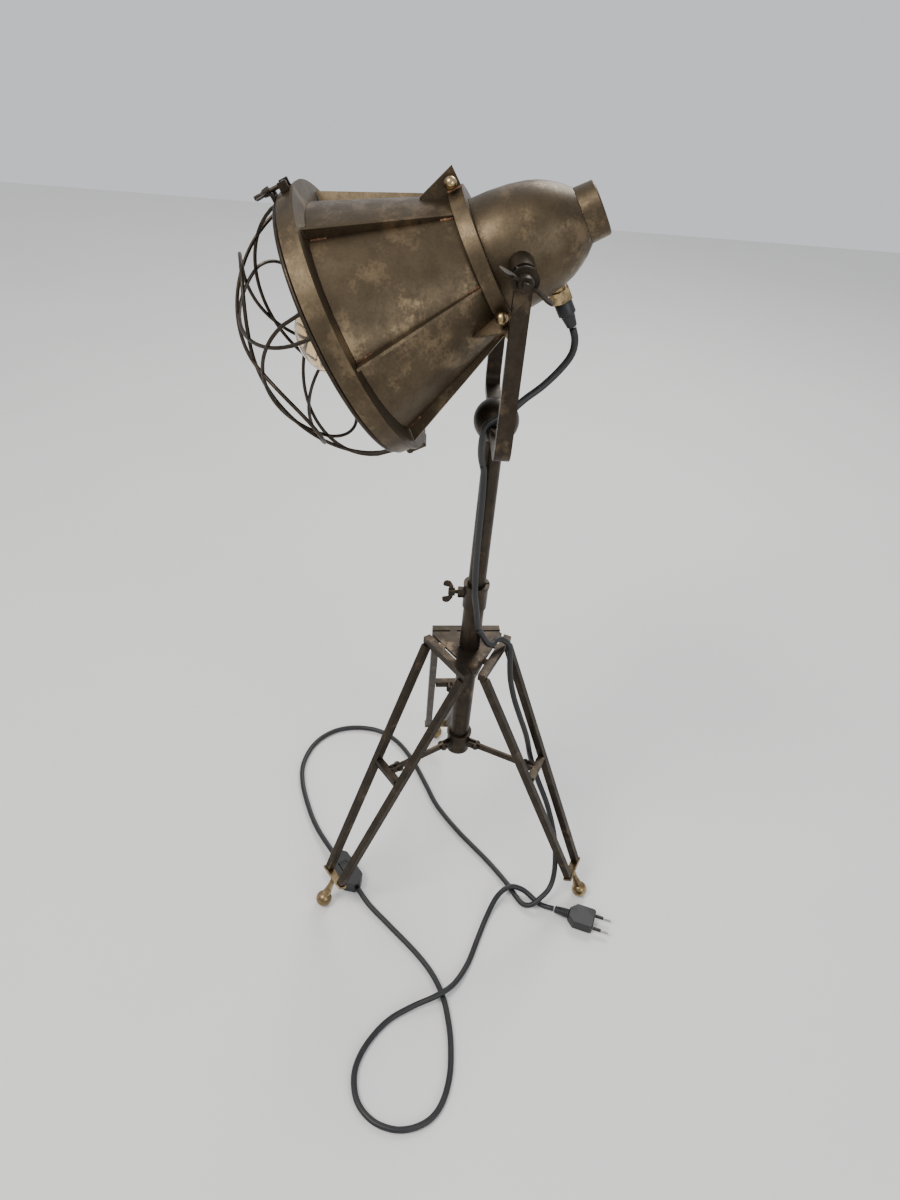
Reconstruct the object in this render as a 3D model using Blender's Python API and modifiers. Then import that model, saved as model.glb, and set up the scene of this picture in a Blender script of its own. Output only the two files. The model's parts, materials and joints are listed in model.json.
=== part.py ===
"""Tripod floor lamp with a tilting spotlight head, a folding wire guard and a mains cord.

Units are metres and degrees, +Z is up, and the head faces -Y. Every part is one named object,
parented to the empty that sits on its joint's axis. The script stands alone.
"""

import math

import bmesh
import bpy
from mathutils import Matrix, Vector

# ---------------------------------------------------------------------------------------------
# Driving dimensions
# ---------------------------------------------------------------------------------------------
GAP = 0.0003              # air left between pieces that touch
WELD = 0.0008             # how far welded shapes run into each other
RUNNING = 0.00008         # radial clearance of pieces that turn or slide on each other
BOLT_CLEARANCE = 0.0003   # radial clearance of a bolt in its hole

# Heights above the floor
PLATE_TOP = 0.336
PIVOT_HEIGHT = 0.7646
BALL_HEIGHT = 0.609
COLLAR_TOP = 0.422
TUBE_FOOT = 0.1755

# Tripod
TRIPOD_TURN = 4.8         # degrees that the tripod is turned from the head's side axis
LEG_AZIMUTHS = (-60.0, 60.0, 180.0)
FOOT_CIRCLE_RADIUS = 0.185
FOOT_BALL_RADIUS = 0.0095
FOOT_FLAT_RADIUS = 0.0026
FOOT_NECK_RADIUS = 0.0032
FOOT_COLLAR_RADIUS = 0.0050
PLATE_CIRCUMRADIUS = 0.0480
PLATE_THICKNESS = 0.0030
PLATE_CORNER_CLIP = 0.0022
LEG_BAR = 0.0085          # side of the square leg tubes
LEG_TOP_RADIUS = 0.0310
LEG_TOP_DROP = 0.0045     # top bar's centre below the plate's top
LEG_TOP_HALF_SPREAD = 0.0340
LEG_FOOT_HALF_SPREAD = 0.0135
LEG_FOOT_PLATE_ALONG = 0.3220
FOOT_PLATE_HALF_WIDTH = 0.0190
FOOT_PLATE_DEPTH = 0.0100
FOOT_PLATE_THICKNESS = 0.0030
CROSS_BAR_ALONG = 0.1600
CROSS_BAR_HEIGHT = 0.0080
TAB_WIDTH = 0.0080
TAB_OFFSET = 0.0150
TAB_THICKNESS = 0.0022

# Column
OUTER_TUBE_RADIUS = 0.0112
INNER_TUBE_RADIUS = 0.0093
TUBE_WALL = 0.0015
INNER_TUBE_FOOT = 0.3120
BALL_RADIUS = 0.0212
BALL_SOCKET_DEPTH = 0.0095
COLLAR_HEIGHT = 0.0300
COLLAR_RADIUS = 0.0128
COLLAR_FLARE_RADIUS = 0.0138
COLLAR_LIP = 0.0035
COLLAR_SPLIT = 0.0018
CLAMP_SCREW_DROP = 0.0130   # below the collar's top
CLAMP_NUT_FLAT_RADIUS = 0.0052
CLAMP_NUT_LENGTH = 0.0062
SCREW_RADIUS = 0.0021

# Hub and stays
HUB_RADIUS = 0.0135
HUB_HEIGHT = 0.0280
HUB_BEAD_RADIUS = 0.0146
HUB_BEAD_HEIGHT = 0.0040
STAY_HEIGHT = 0.1890
STAY_PIN_RADIUS = 0.0235    # from the column's axis to the inner bolt
STAY_THICKNESS = 0.0030
STAY_DEPTH = 0.0080
EAR_THICKNESS = 0.0022
RIVET_RADIUS = 0.0020
RIVET_HEAD_RADIUS = 0.0040
RIVET_HEAD_HEIGHT = 0.0020
EAR_REACH = 0.0100          # from the cross bar's face to the outer bolt

# Yoke
YOKE_ARM_INSIDE = 0.0760
YOKE_ARM_THICKNESS = 0.0080
YOKE_WIDTH = 0.0142
YOKE_CROSS_HEIGHT = 0.0080
YOKE_CORNER_RADIUS = 0.0180
YOKE_TOP_OVERHANG = 0.0075
PIVOT_BOLT_RADIUS = 0.0030
PIVOT_BOLT_END = 0.1016
WASHER_RADII = (0.0110, 0.0090)
WASHER_THICKNESSES = (0.0016, 0.0012)

# Head: distances along its axis run forwards from the tilt pivot
HEAD_TILT = 29.2
SHEET = 0.0015
RING_RADIUS = 0.1165
RING_BEAD_RADIUS = 0.1184
RING_FRONT = 0.1560
RING_REAR = 0.1400
RING_WALL = 0.0028
RING_BEAD_WIDTH = 0.0030
SHADE_FRONT_RADIUS = 0.1000
SHADE_SLOPE = 0.4032
BAND_RADIUS = 0.0615
BAND_FRONT = 0.0340
BAND_REAR = 0.0220
BAND_WALL = 0.0025
FIN_COUNT = 6
FIN_THICKNESS = 0.0025
FIN_FRONT_RADIUS = 0.1120
FIN_REAR_RADIUS = 0.0607
DOME_OUTLINE = (           # (distance along the axis, radius), front to rear
    (0.0217, 0.0490), (0.0060, 0.0484), (-0.0110, 0.0463), (-0.0250, 0.0430), (-0.0340, 0.0397),
    (-0.0425, 0.0350), (-0.0500, 0.0296), (-0.0566, 0.0232),
)
CAP_RADIUS = 0.0220
CAP_REAR = -0.0735
CAP_CHAMFER = 0.0012
GUSSET_ANGLES = (90.0, -30.0, 210.0)
GUSSET_THICKNESS = 0.0020
GUSSET_LENGTH = 0.0340
GUSSET_PEAK_RADIUS = 0.0786
GUSSET_TIP = 0.0014
GUSSET_FOOT = 0.0030
BALL_SCREW_RADIUS = 0.0690
BALL_SCREW_ALONG = 0.0285
BALL_SCREW_BALL = 0.0052
BALL_SCREW_NECK = 0.0026
BALL_SCREW_NECK_LENGTH = 0.0042
BOSS_RADIUS = 0.0105
GLAND_ALONG = -0.0180
GLAND_NUT_FLAT = 0.0090
GLAND_NUT_LENGTH = 0.0100
GLAND_NECK_RADIUS = 0.0072
GLAND_NECK_END = 0.0478
GLAND_BODY_LENGTH = 0.0240
GLAND_BODY_RADIUS = 0.0078

# Lamp inside the head
HOLDER_RADIUS = 0.0195
HOLDER_REAR = 0.0500
HOLDER_FRONT = 0.1100
HOLDER_WALL = 0.0022
STEM_RADIUS = 0.0050
BULB_RADIUS = 0.0400
BULB_CENTRE = 0.1635
BULB_NECK_RADIUS = 0.0135
BULB_CAP_REAR = 0.0865
BULB_CAP_LENGTH = 0.0265
BULB_CAP_RADIUS = 0.0132
BULB_GLASS = 0.0009
FILAMENT_RADIUS = 0.0006

# Guard and its latch
CAGE_PLANE = 0.1588
CAGE_RADIUS = 0.1125
CAGE_DEPTH = 0.0820
CAGE_WIRE = 0.0016
CAGE_RING_WIRE = 0.0022
CAGE_PETALS = 4
PETAL_TURN = -22.0
PETAL_TIP_RADIUS = 0.0970   # from the axis to a loop's tip
PETAL_TIP_BEND = 0.0470     # radius of the bend at the tip
PETAL_ROOT_HALF_ANGLE = 40.0
PETAL_STEP = 0.0155
CAGE_LAYER = 0.0010         # half the step between the two layers of wires
HINGE_RADIUS = 0.1245
HINGE_ALONG = 0.1588
HINGE_BARREL = 0.0034
HINGE_PIN = 0.0015
HINGE_MIDDLE = 0.0100       # length of the guard's barrel
HINGE_SIDE = 0.0060         # length of each barrel on the ring
HINGE_SIDE_PLAY = 0.0004
LATCH_RADIUS = 0.1216
LATCH_ALONG = 0.1480
LATCH_BOLT_RADIUS = 0.0018
LATCH_BOLT_END = 0.1745
LATCH_TAB_FRONT = 0.1605
LATCH_TAB_THICKNESS = 0.0026
LATCH_TAB_WIDTH = 0.0156
LATCH_TAB_TOP = 0.1203
LATCH_LUG_TOP = 0.0030
LATCH_LUG_REACH = 0.0062
LATCH_LUG_LENGTH = 0.0080
LATCH_BASE = 0.0016
LATCH_EYE_HALF = 0.0032
LATCH_EYE_RADIUS = 0.0027
LATCH_PIN = 0.0012

# Wing nuts: hub radius, hub length, span of the wings, blade thickness, blade height
YOKE_WING = (0.0072, 0.0080, 0.0500, 0.0020, 0.0110)
LATCH_WING = (0.0040, 0.0055, 0.0300, 0.0014, 0.0070)
CLAMP_WING = (0.0044, 0.0070, 0.0280, 0.0018, 0.0090)
YOKE_WING_ANGLE = 32.0

# Cord
CORD_RADIUS = 0.0033
CORD_SPACING = 0.0150       # between the points of the cord's runs on the floor
CORD_FINE_SPACING = 0.0095  # and of its runs on the lamp, which bend more
SWITCH_LENGTH = 0.0620
SWITCH_WIDTH = 0.0270
SWITCH_HEIGHT = 0.0180
SWITCH_END_GAPS = 0.0022
ROCKER_LENGTH = 0.0160
ROCKER_WIDTH = 0.0100
PLUG_BODY_LENGTH = 0.0320
PLUG_WIDTH = 0.0137         # half the plug's width
PLUG_HALF_HEIGHT = 0.0067
PLUG_NECK_RADIUS = 0.0055
PLUG_RELIEF_LENGTH = 0.0190
PIN_LENGTH = 0.0190
PIN_RADIUS = 0.0020
PIN_SPACING = 0.0180

# The cord's own route, chosen by hand: the gland to the ball, the ball to the tube, the tube to
# the plate, then over one leg, down to the floor and away in loose loops.
CORD_HEAD = (
    (0.0000, 0.0563, 0.7007), (0.0000, 0.0600, 0.6900), (0.0010, 0.0590, 0.6770),
    (0.0040, 0.0500, 0.6630), (0.0110, 0.0360, 0.6500), (0.0185, 0.0205, 0.6395),
    (0.0244, 0.0085, 0.6290),
)
CORD_SWIVEL = (
    (0.0254, 0.0062, 0.6268), (0.0263, -0.0040, 0.6212), (0.0263, -0.0108, 0.6160),
    (0.0256, -0.0128, 0.6080), (0.0235, -0.0132, 0.5960), (0.0190, -0.0122, 0.5830), (0.0157, -0.0102, 0.5730),
)
CORD_MAST = (
    (0.0149, -0.0094, 0.5700), (0.0129, -0.0072, 0.5600), (0.0122, -0.0058, 0.5300),
    (0.0124, -0.0050, 0.4800), (0.0140, -0.0040, 0.4450), (0.0180, -0.0025, 0.4200),
    (0.0172, 0.0010, 0.4000), (0.0154, 0.0050, 0.3745),
)
CORD_LEG = (
    (0.0150, 0.0064, 0.3715), (0.0137, 0.0120, 0.3610), (0.0115, 0.0180, 0.3500),
    (0.0080, 0.0235, 0.3450), (0.0025, 0.0275, 0.3460), (-0.0015, 0.0325, 0.3465),
    (-0.0032, 0.0380, 0.3430), (-0.0030, 0.0425, 0.3395), (-0.0010, 0.0455, 0.3340),
    (0.0010, 0.0465, 0.3260), (0.0050, 0.0475, 0.3130), (0.0090, 0.0500, 0.2960),
    (0.0160, 0.0560, 0.2750), (0.0210, 0.0650, 0.2520), (0.0225, 0.0765, 0.2218),
    (0.0230, 0.0860, 0.1870), (0.0300, 0.0970, 0.1590), (0.0439, 0.1135, 0.1245),
    (0.0589, 0.1255, 0.0885), (0.0699, 0.1305, 0.0565), (0.0789, 0.1310, 0.0334),
    (0.0890, 0.1260, 0.0215), (0.0980, 0.1160, 0.0160), (0.1035, 0.1045, 0.0075),
    (0.1000, 0.0940, 0.0036), (0.0880, 0.0855, 0.0036),
)
CORD_FLOOR = (
    (0.0860, 0.0844, 0.0036), (0.0700, 0.0755, 0.0036), (0.0370, 0.0520, 0.0036),
    (-0.0070, 0.0160, 0.0036), (-0.0480, -0.0120, 0.0036), (-0.0820, -0.0270, 0.0036),
    (-0.1170, -0.0420, 0.0036), (-0.1490, -0.0590, 0.0036), (-0.1720, -0.0780, 0.0036),
    (-0.1870, -0.1030, 0.0036), (-0.1900, -0.1360, 0.0036), (-0.1800, -0.1660, 0.0036),
    (-0.1550, -0.1900, 0.0036), (-0.1180, -0.2020, 0.0036), (-0.0820, -0.2000, 0.0036),
    (-0.0390, -0.1870, 0.0036), (-0.0020, -0.1710, 0.0048), (0.0385, -0.1464, 0.0080),
)
CORD_TAIL = (
    (0.0892, -0.1118, 0.0080), (0.1090, -0.0970, 0.0048), (0.1350, -0.0720, 0.0036),
    (0.1710, -0.0380, 0.0036), (0.1980, -0.0180, 0.0036), (0.2250, -0.0060, 0.0036),
    (0.2510, -0.0005, 0.0036), (0.2760, 0.0020, 0.0036), (0.3080, 0.0010, 0.0036),
    (0.3350, -0.0060, 0.0036), (0.3530, -0.0180, 0.0036), (0.3630, -0.0360, 0.0036),
    (0.3650, -0.0570, 0.0036), (0.3570, -0.0790, 0.0036), (0.3390, -0.0950, 0.0036),
    (0.3140, -0.1000, 0.0036), (0.2920, -0.0950, 0.0036), (0.2700, -0.0820, 0.0036),
    (0.2510, -0.0640, 0.0036), (0.2370, -0.0390, 0.0060), (0.2270, -0.0140, 0.0105),
    (0.2110, 0.0060, 0.0080), (0.1830, 0.0230, 0.0036), (0.1500, 0.0360, 0.0036),
    (0.1180, 0.0490, 0.0045), (0.0950, 0.0620, 0.0105), (0.0820, 0.0780, 0.0122),
    (0.0820, 0.0950, 0.0075), (0.0930, 0.1090, 0.0040), (0.1010, 0.1170, 0.0048),
    (0.1052, 0.1240, 0.0068), (0.1076, 0.1320, 0.0072),
)
PLUG_HEADING = 71.0
PLUG_START = 0.0012         # from the cord's end to the plug's relief

ROUND = 24                # sides of large turned parts
SMALL_ROUND = 12          # sides of bolts, nuts and pins
SHELL_ROUND = 40          # sides of the head's rings and cone
BALL_RINGS = 5
CORNER_STEPS = 4          # facets of a rounded end

# Derived places
LEG_TOP = Vector((LEG_TOP_RADIUS, 0.0, PLATE_TOP - LEG_TOP_DROP))
FOOT_CENTRE = Vector((FOOT_CIRCLE_RADIUS, 0.0, math.sqrt(FOOT_BALL_RADIUS**2 - FOOT_FLAT_RADIUS**2)))
LEG_DIRECTION = (FOOT_CENTRE - LEG_TOP).normalized()
LEG_LENGTH = (FOOT_CENTRE - LEG_TOP).length
SHADE_FRONT = RING_REAR - GAP
SHADE_REAR = BAND_REAR + BAND_WALL + GAP
YOKE_ARM_OUTSIDE = YOKE_ARM_INSIDE + YOKE_ARM_THICKNESS


# ---------------------------------------------------------------------------------------------
# Frames
# ---------------------------------------------------------------------------------------------
def shift(x=0.0, y=0.0, z=0.0):
    return Matrix.Translation((x, y, z))


def turn(axis, degrees):
    return Matrix.Rotation(math.radians(degrees), 4, axis)


def aim(start, direction):
    """A frame at start whose Z axis points along direction."""
    rotation = Vector(direction).to_track_quat("Z", "X").to_matrix().to_4x4()
    return Matrix.Translation(start) @ rotation


# Outline X becomes radial, outline Y becomes axial and the thickness becomes tangential.
UPRIGHT = turn("X", 90.0)


def shade_radius(along):
    """Outer radius of the shade's cone at a distance along the head's axis."""
    return SHADE_FRONT_RADIUS - SHADE_SLOPE * (SHADE_FRONT - along)


# ---------------------------------------------------------------------------------------------
# Meshes
# ---------------------------------------------------------------------------------------------
def baked(obj):
    """The object's evaluated shape as a closed mesh with its faces pointing out."""
    evaluated = obj.evaluated_get(bpy.context.evaluated_depsgraph_get())
    mesh = bpy.data.meshes.new_from_object(evaluated)
    bpy.data.objects.remove(obj, do_unlink=True)
    shape = bmesh.new()
    shape.from_mesh(mesh)
    bmesh.ops.remove_doubles(shape, verts=shape.verts, dist=1e-6)
    bmesh.ops.recalc_face_normals(shape, faces=shape.faces)
    shape.to_mesh(mesh)
    shape.free()
    return mesh


def temporary(name, data):
    obj = bpy.data.objects.new(name, data)
    bpy.context.scene.collection.objects.link(obj)
    return obj


def from_bmesh(shape):
    mesh = bpy.data.meshes.new("shape")
    shape.to_mesh(mesh)
    shape.free()
    return mesh


def turned(profile, sides=ROUND):
    """A solid of revolution about Z from (radius, height) pairs that run down the outer side."""
    mesh = bpy.data.meshes.new("profile")
    points = [(radius, 0.0, height) for radius, height in profile]
    closed = profile[0][0] > 0.0 and profile[-1][0] > 0.0
    edges = [(i, i + 1) for i in range(len(points) - 1) if profile[i][0] > 0.0 or profile[i + 1][0] > 0.0]
    if closed:
        edges.append((len(points) - 1, 0))
    mesh.from_pydata(points, edges, [])
    obj = temporary("turned", mesh)
    screw = obj.modifiers.new("screw", "SCREW")
    screw.steps = sides
    screw.render_steps = sides
    screw.use_merge_vertices = True
    screw.merge_threshold = 1e-5
    return baked(obj)


def cylinder(length, radius, top_radius=None, sides=SMALL_ROUND):
    """A round bar or cone from the origin up +Z."""
    shape = bmesh.new()
    top = radius if top_radius is None else top_radius
    bmesh.ops.create_cone(
        shape, cap_ends=True, segments=sides, radius1=radius, radius2=top, depth=length,
        matrix=shift(z=length / 2),
    )
    return from_bmesh(shape)


def box(size_x, size_y, size_z):
    """A box centred on the origin."""
    shape = bmesh.new()
    bmesh.ops.create_cube(shape, size=1.0, matrix=Matrix.Diagonal((size_x, size_y, size_z, 1.0)))
    return from_bmesh(shape)


def ball(radius, rings):
    shape = bmesh.new()
    bmesh.ops.create_uvsphere(shape, u_segments=2 * rings, v_segments=rings, radius=radius)
    return from_bmesh(shape)


def plate(outline, thickness):
    """A flat plate in the XY plane, centred on it, from its outline's (x, y) points."""
    curve = bpy.data.curves.new("outline", "CURVE")
    curve.dimensions = "2D"
    curve.fill_mode = "BOTH"
    curve.extrude = thickness / 2
    spline = curve.splines.new("POLY")
    spline.points.add(len(outline) - 1)
    for point, (x, y) in zip(spline.points, outline):
        point.co = (x, y, 0.0, 1.0)
    spline.use_cyclic_u = True
    return baked(temporary("plate", curve))


def tube(points, radius, cyclic=False, roundness=2):
    """A round wire through the points, with closed ends."""
    curve = bpy.data.curves.new("wire", "CURVE")
    curve.dimensions = "3D"
    curve.bevel_depth = radius
    curve.bevel_resolution = roundness
    curve.use_fill_caps = not cyclic
    curve.twist_mode = "MINIMUM"
    spline = curve.splines.new("POLY")
    spline.points.add(len(points) - 1)
    for point, place in zip(spline.points, points):
        point.co = (*place, 1.0)
    spline.use_cyclic_u = cyclic
    return baked(temporary("wire", curve))


def combined(mesh, other, place, operation):
    """mesh with other, set at place, cut away or joined on."""
    body = temporary("body", mesh)
    tool = temporary("tool", other)
    tool.matrix_world = place
    modifier = body.modifiers.new("boolean", "BOOLEAN")
    modifier.object = tool
    modifier.operation = operation
    modifier.solver = "EXACT"
    bpy.context.view_layer.update()
    result = baked(body)
    bpy.data.objects.remove(tool, do_unlink=True)
    return result


def cut(mesh, other, place=Matrix.Identity(4)):
    return combined(mesh, other, place, "DIFFERENCE")


def joined(mesh, other, place=Matrix.Identity(4)):
    return combined(mesh, other, place, "UNION")


def welded(pieces):
    """One solid from (mesh, place) pairs that run into each other."""
    body, place = pieces[0]
    body.transform(place)
    for mesh, place in pieces[1:]:
        body = joined(body, mesh, place)
    return body


def arc(centre, radius, start, end, steps):
    """Points of a round corner in a plane, angles in degrees."""
    angles = [math.radians(start + (end - start) * i / steps) for i in range(steps + 1)]
    return [(centre[0] + radius * math.cos(a), centre[1] + radius * math.sin(a)) for a in angles]


def smooth_path(points, spacing):
    """Evenly spaced points on a smooth curve through the given ones."""
    ends = [points[0] * 2 - points[1], *points, points[-1] * 2 - points[-2]]
    dense = []
    for before, start, end, after in zip(ends, ends[1:], ends[2:], ends[3:]):
        for step in range(24):
            t = step / 24
            dense.append(0.5 * (
                2 * start + (end - before) * t + (2 * before - 5 * start + 4 * end - after) * t**2
                + (3 * start - before - 3 * end + after) * t**3
            ))
    dense.append(points[-1])
    lengths = [0.0]
    for start, end in zip(dense, dense[1:]):
        lengths.append(lengths[-1] + (end - start).length)
    count = max(2, round(lengths[-1] / spacing))
    path, index = [], 0
    for step in range(count + 1):
        target = lengths[-1] * step / count
        while index < len(dense) - 2 and lengths[index + 1] < target:
            index += 1
        share = (target - lengths[index]) / (lengths[index + 1] - lengths[index])
        path.append(dense[index].lerp(dense[index + 1], share))
    return path


# ---------------------------------------------------------------------------------------------
# Materials
# ---------------------------------------------------------------------------------------------
def material(name, colour, roughness, metallic):
    made = bpy.data.materials.get(name)
    if made is None:
        made = bpy.data.materials.new(name)
        made.use_nodes = True
        shader = made.node_tree.nodes["Principled BSDF"]
        shader.inputs["Base Color"].default_value = (*colour, 1.0)
        shader.inputs["Roughness"].default_value = roughness
        shader.inputs["Metallic"].default_value = metallic
        made.diffuse_color = (*colour, 1.0)
    return made


def aged_bronze():
    return material("aged_bronze", (0.115, 0.072, 0.042), 0.42, 0.9)


def dark_bronze():
    return material("dark_bronze", (0.050, 0.036, 0.026), 0.45, 0.85)


def brass():
    return material("brass", (0.50, 0.33, 0.14), 0.30, 1.0)


def steel():
    return material("steel", (0.55, 0.54, 0.52), 0.28, 1.0)


def black_rubber():
    return material("black_rubber", (0.015, 0.015, 0.015), 0.6, 0.0)


def black_plastic():
    return material("black_plastic", (0.02, 0.02, 0.02), 0.45, 0.0)


def amber_glass():
    return material("amber_glass", (0.85, 0.52, 0.22), 0.05, 0.0)


# ---------------------------------------------------------------------------------------------
# Parts and the empties that carry them
# ---------------------------------------------------------------------------------------------
def clear_scene():
    for obj in list(bpy.data.objects):
        bpy.data.objects.remove(obj, do_unlink=True)


def collection(name):
    made = bpy.data.collections.new(name)
    bpy.context.scene.collection.children.link(made)
    return made


def frame(name, place, parent):
    empty = bpy.data.objects.new(name, None)
    empty.empty_display_size = 0.02
    PARTS.objects.link(empty)
    empty.parent = parent
    empty.matrix_basis = place
    return empty


def part(name, mesh, place, finish, parent):
    """One node from a mesh set at place in the parent's frame."""
    mesh.transform(place)
    mesh.name = name
    mesh.materials.clear()
    mesh.materials.append(finish)
    mesh.shade_smooth()
    mesh.set_sharp_from_angle(angle=math.radians(35.0))
    obj = bpy.data.objects.new(name, mesh)
    PARTS.objects.link(obj)
    obj.parent = parent
    return obj


HERE = Matrix.Identity(4)


# ---------------------------------------------------------------------------------------------
# Small hardware that is used more than once
# ---------------------------------------------------------------------------------------------
def wing_blade(wing):
    """One wing in the XZ plane: it leaves the hub, flares and ends round."""
    hub_radius, hub_length, span, thickness, height = wing
    reach = span / 2
    end = (reach - height / 2, hub_length * 0.75 + height * 0.35)
    outline = [(hub_radius * 0.55, hub_length * 0.15), (reach * 0.55, hub_length * 0.30)]
    outline += arc(end, height / 2, -60.0, 110.0, CORNER_STEPS)
    outline += [(reach * 0.45, hub_length * 0.95), (hub_radius * 0.55, hub_length * 0.85)]
    return plate(outline, thickness)


def wing_nut(wing, bore_radius):
    """A nut on the Z axis, seated at z = 0, with two wings along X."""
    hub_radius, hub_length, *_ = wing
    nut = turned([(0.0, hub_length), (hub_radius * 0.80, hub_length), (hub_radius, 0.0), (0.0, 0.0)],
                 SMALL_ROUND)
    for side in (0.0, 180.0):
        nut = joined(nut, wing_blade(wing), turn("Z", side) @ UPRIGHT)
    if bore_radius > 0.0:
        nut = cut(nut, cylinder(hub_length * 4, bore_radius), shift(z=-hub_length * 2))
    return nut


# ---------------------------------------------------------------------------------------------
# Stand
# ---------------------------------------------------------------------------------------------
def top_plate(parent):
    """The triangular plate, and the bars that its tabs hold, which head the three legs."""
    corners = []
    clip = PLATE_CIRCUMRADIUS - math.sqrt(3.0) * PLATE_CORNER_CLIP
    for index in range(3):
        angle = math.radians(120.0 * index)
        across = Vector((-math.sin(angle), math.cos(angle)))
        outward = Vector((math.cos(angle), math.sin(angle)))
        for side in (-1, 1):
            corners.append(tuple(outward * clip + across * side * PLATE_CORNER_CLIP))
    middle = PLATE_TOP - PLATE_THICKNESS / 2
    pieces = [(plate(corners, PLATE_THICKNESS), shift(z=middle))]
    inside = PLATE_CIRCUMRADIUS / 2 - WELD
    outside = LEG_TOP_RADIUS - LEG_BAR / 2 + WELD
    for azimuth in LEG_AZIMUTHS:
        for side in (-1, 1):
            tab = box(outside - inside, TAB_WIDTH, TAB_THICKNESS)
            place = shift((outside + inside) / 2, side * TAB_OFFSET, middle)
            pieces.append((tab, turn("Z", azimuth) @ place))
        bar = box(LEG_BAR, 2 * LEG_TOP_HALF_SPREAD + LEG_BAR, LEG_BAR)
        pieces.append((bar, turn("Z", azimuth) @ Matrix.Translation(LEG_TOP)))
    body = welded(pieces)
    hole = cylinder(PLATE_THICKNESS * 3, OUTER_TUBE_RADIUS + GAP, sides=ROUND)
    body = cut(body, hole, shift(z=middle - PLATE_THICKNESS * 1.5))
    part("top_plate", body, HERE, dark_bronze(), parent)


def screw_hole(reach, length):
    """A hole's cutter along -Y at the clamp screw's height."""
    height = COLLAR_TOP - CLAMP_SCREW_DROP
    hole = cylinder(length, SCREW_RADIUS + BOLT_CLEARANCE)
    return hole, aim((0.0, -reach, height), (0.0, -1.0, 0.0))


def outer_tube(parent):
    radius = OUTER_TUBE_RADIUS
    top = COLLAR_TOP - COLLAR_LIP - GAP
    bore = radius - TUBE_WALL
    body = turned([(radius, top), (radius, TUBE_FOOT), (bore, TUBE_FOOT), (bore, top)])
    body = cut(body, *screw_hole(bore - 0.003, 0.008))
    part("outer_tube", body, HERE, dark_bronze(), parent)


def clamp_collar(parent):
    """The split collar on the outer tube's end, with the nut that its wing screw runs in."""
    bottom = COLLAR_TOP - COLLAR_HEIGHT
    bore = OUTER_TUBE_RADIUS + GAP
    lip_bore = INNER_TUBE_RADIUS + GAP
    body = turned([
        (COLLAR_FLARE_RADIUS, COLLAR_TOP), (COLLAR_FLARE_RADIUS, COLLAR_TOP - 0.003),
        (COLLAR_RADIUS, COLLAR_TOP - 0.007), (COLLAR_RADIUS, bottom), (bore, bottom),
        (bore, COLLAR_TOP - COLLAR_LIP), (lip_bore, COLLAR_TOP - COLLAR_LIP), (lip_bore, COLLAR_TOP),
    ])
    nut = cylinder(CLAMP_NUT_LENGTH + WELD, CLAMP_NUT_FLAT_RADIUS / math.cos(math.radians(30.0)), sides=6)
    seat = aim((0.0, WELD - COLLAR_RADIUS, COLLAR_TOP - CLAMP_SCREW_DROP), (0.0, -1.0, 0.0))
    body = joined(body, nut, seat)
    body = cut(body, *screw_hole(bore - 0.003, 0.020))
    split = box(COLLAR_SPLIT, COLLAR_FLARE_RADIUS, COLLAR_HEIGHT * 0.8)
    body = cut(body, split, shift(y=COLLAR_FLARE_RADIUS / 2 + 0.002, z=COLLAR_TOP))
    part("clamp_collar", body, HERE, dark_bronze(), parent)


def clamp_screw(parent):
    """The wing screw that holds the inner tube: its frame's Z axis points away from the tube."""
    hub_start = 0.0125
    shank = cylinder(hub_start + 0.001, SCREW_RADIUS)
    wings = wing_nut(CLAMP_WING, 0.0)
    screw = joined(shank, wings, shift(z=hub_start))
    part("clamp_screw", screw, HERE, dark_bronze(), parent)


def hub_collar(parent):
    bore = OUTER_TUBE_RADIUS + GAP
    top = TUBE_FOOT + HUB_HEIGHT
    bead = top - HUB_BEAD_HEIGHT
    body = turned([
        (HUB_BEAD_RADIUS, top), (HUB_BEAD_RADIUS, bead), (HUB_RADIUS, bead),
        (HUB_RADIUS, TUBE_FOOT + GAP), (bore, TUBE_FOOT + GAP), (bore, top),
    ])
    pieces = [(body, HERE)]
    for azimuth in LEG_AZIMUTHS:
        for side in (-1, 1):
            pieces.append((hub_ear(), turn("Z", azimuth) @ ear_place(side)))
    part("hub_collar", welded(pieces), HERE, dark_bronze(), parent)


def hub_ear():
    """One ear in the upright plane through the column's axis."""
    low = STAY_HEIGHT - STAY_DEPTH / 2
    high = STAY_HEIGHT + STAY_DEPTH / 2
    outline = [(HUB_RADIUS - WELD, low), (STAY_PIN_RADIUS, low)]
    outline += arc((STAY_PIN_RADIUS, STAY_HEIGHT), STAY_DEPTH / 2, -80.0, 80.0, CORNER_STEPS)
    outline += [(STAY_PIN_RADIUS, high), (HUB_RADIUS - WELD, high)]
    ear = plate(outline, EAR_THICKNESS)
    hole = cylinder(0.02, RIVET_RADIUS + BOLT_CLEARANCE)
    return cut(ear, hole, shift(STAY_PIN_RADIUS, STAY_HEIGHT, -0.01))


def ear_place(side):
    return shift(y=side * (STAY_THICKNESS / 2 + EAR_THICKNESS / 2 + GAP)) @ UPRIGHT


def cross_bar_centre():
    return LEG_TOP + LEG_DIRECTION * CROSS_BAR_ALONG


def outer_pin_radius():
    return cross_bar_centre().x - LEG_BAR / 2 - EAR_REACH


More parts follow.
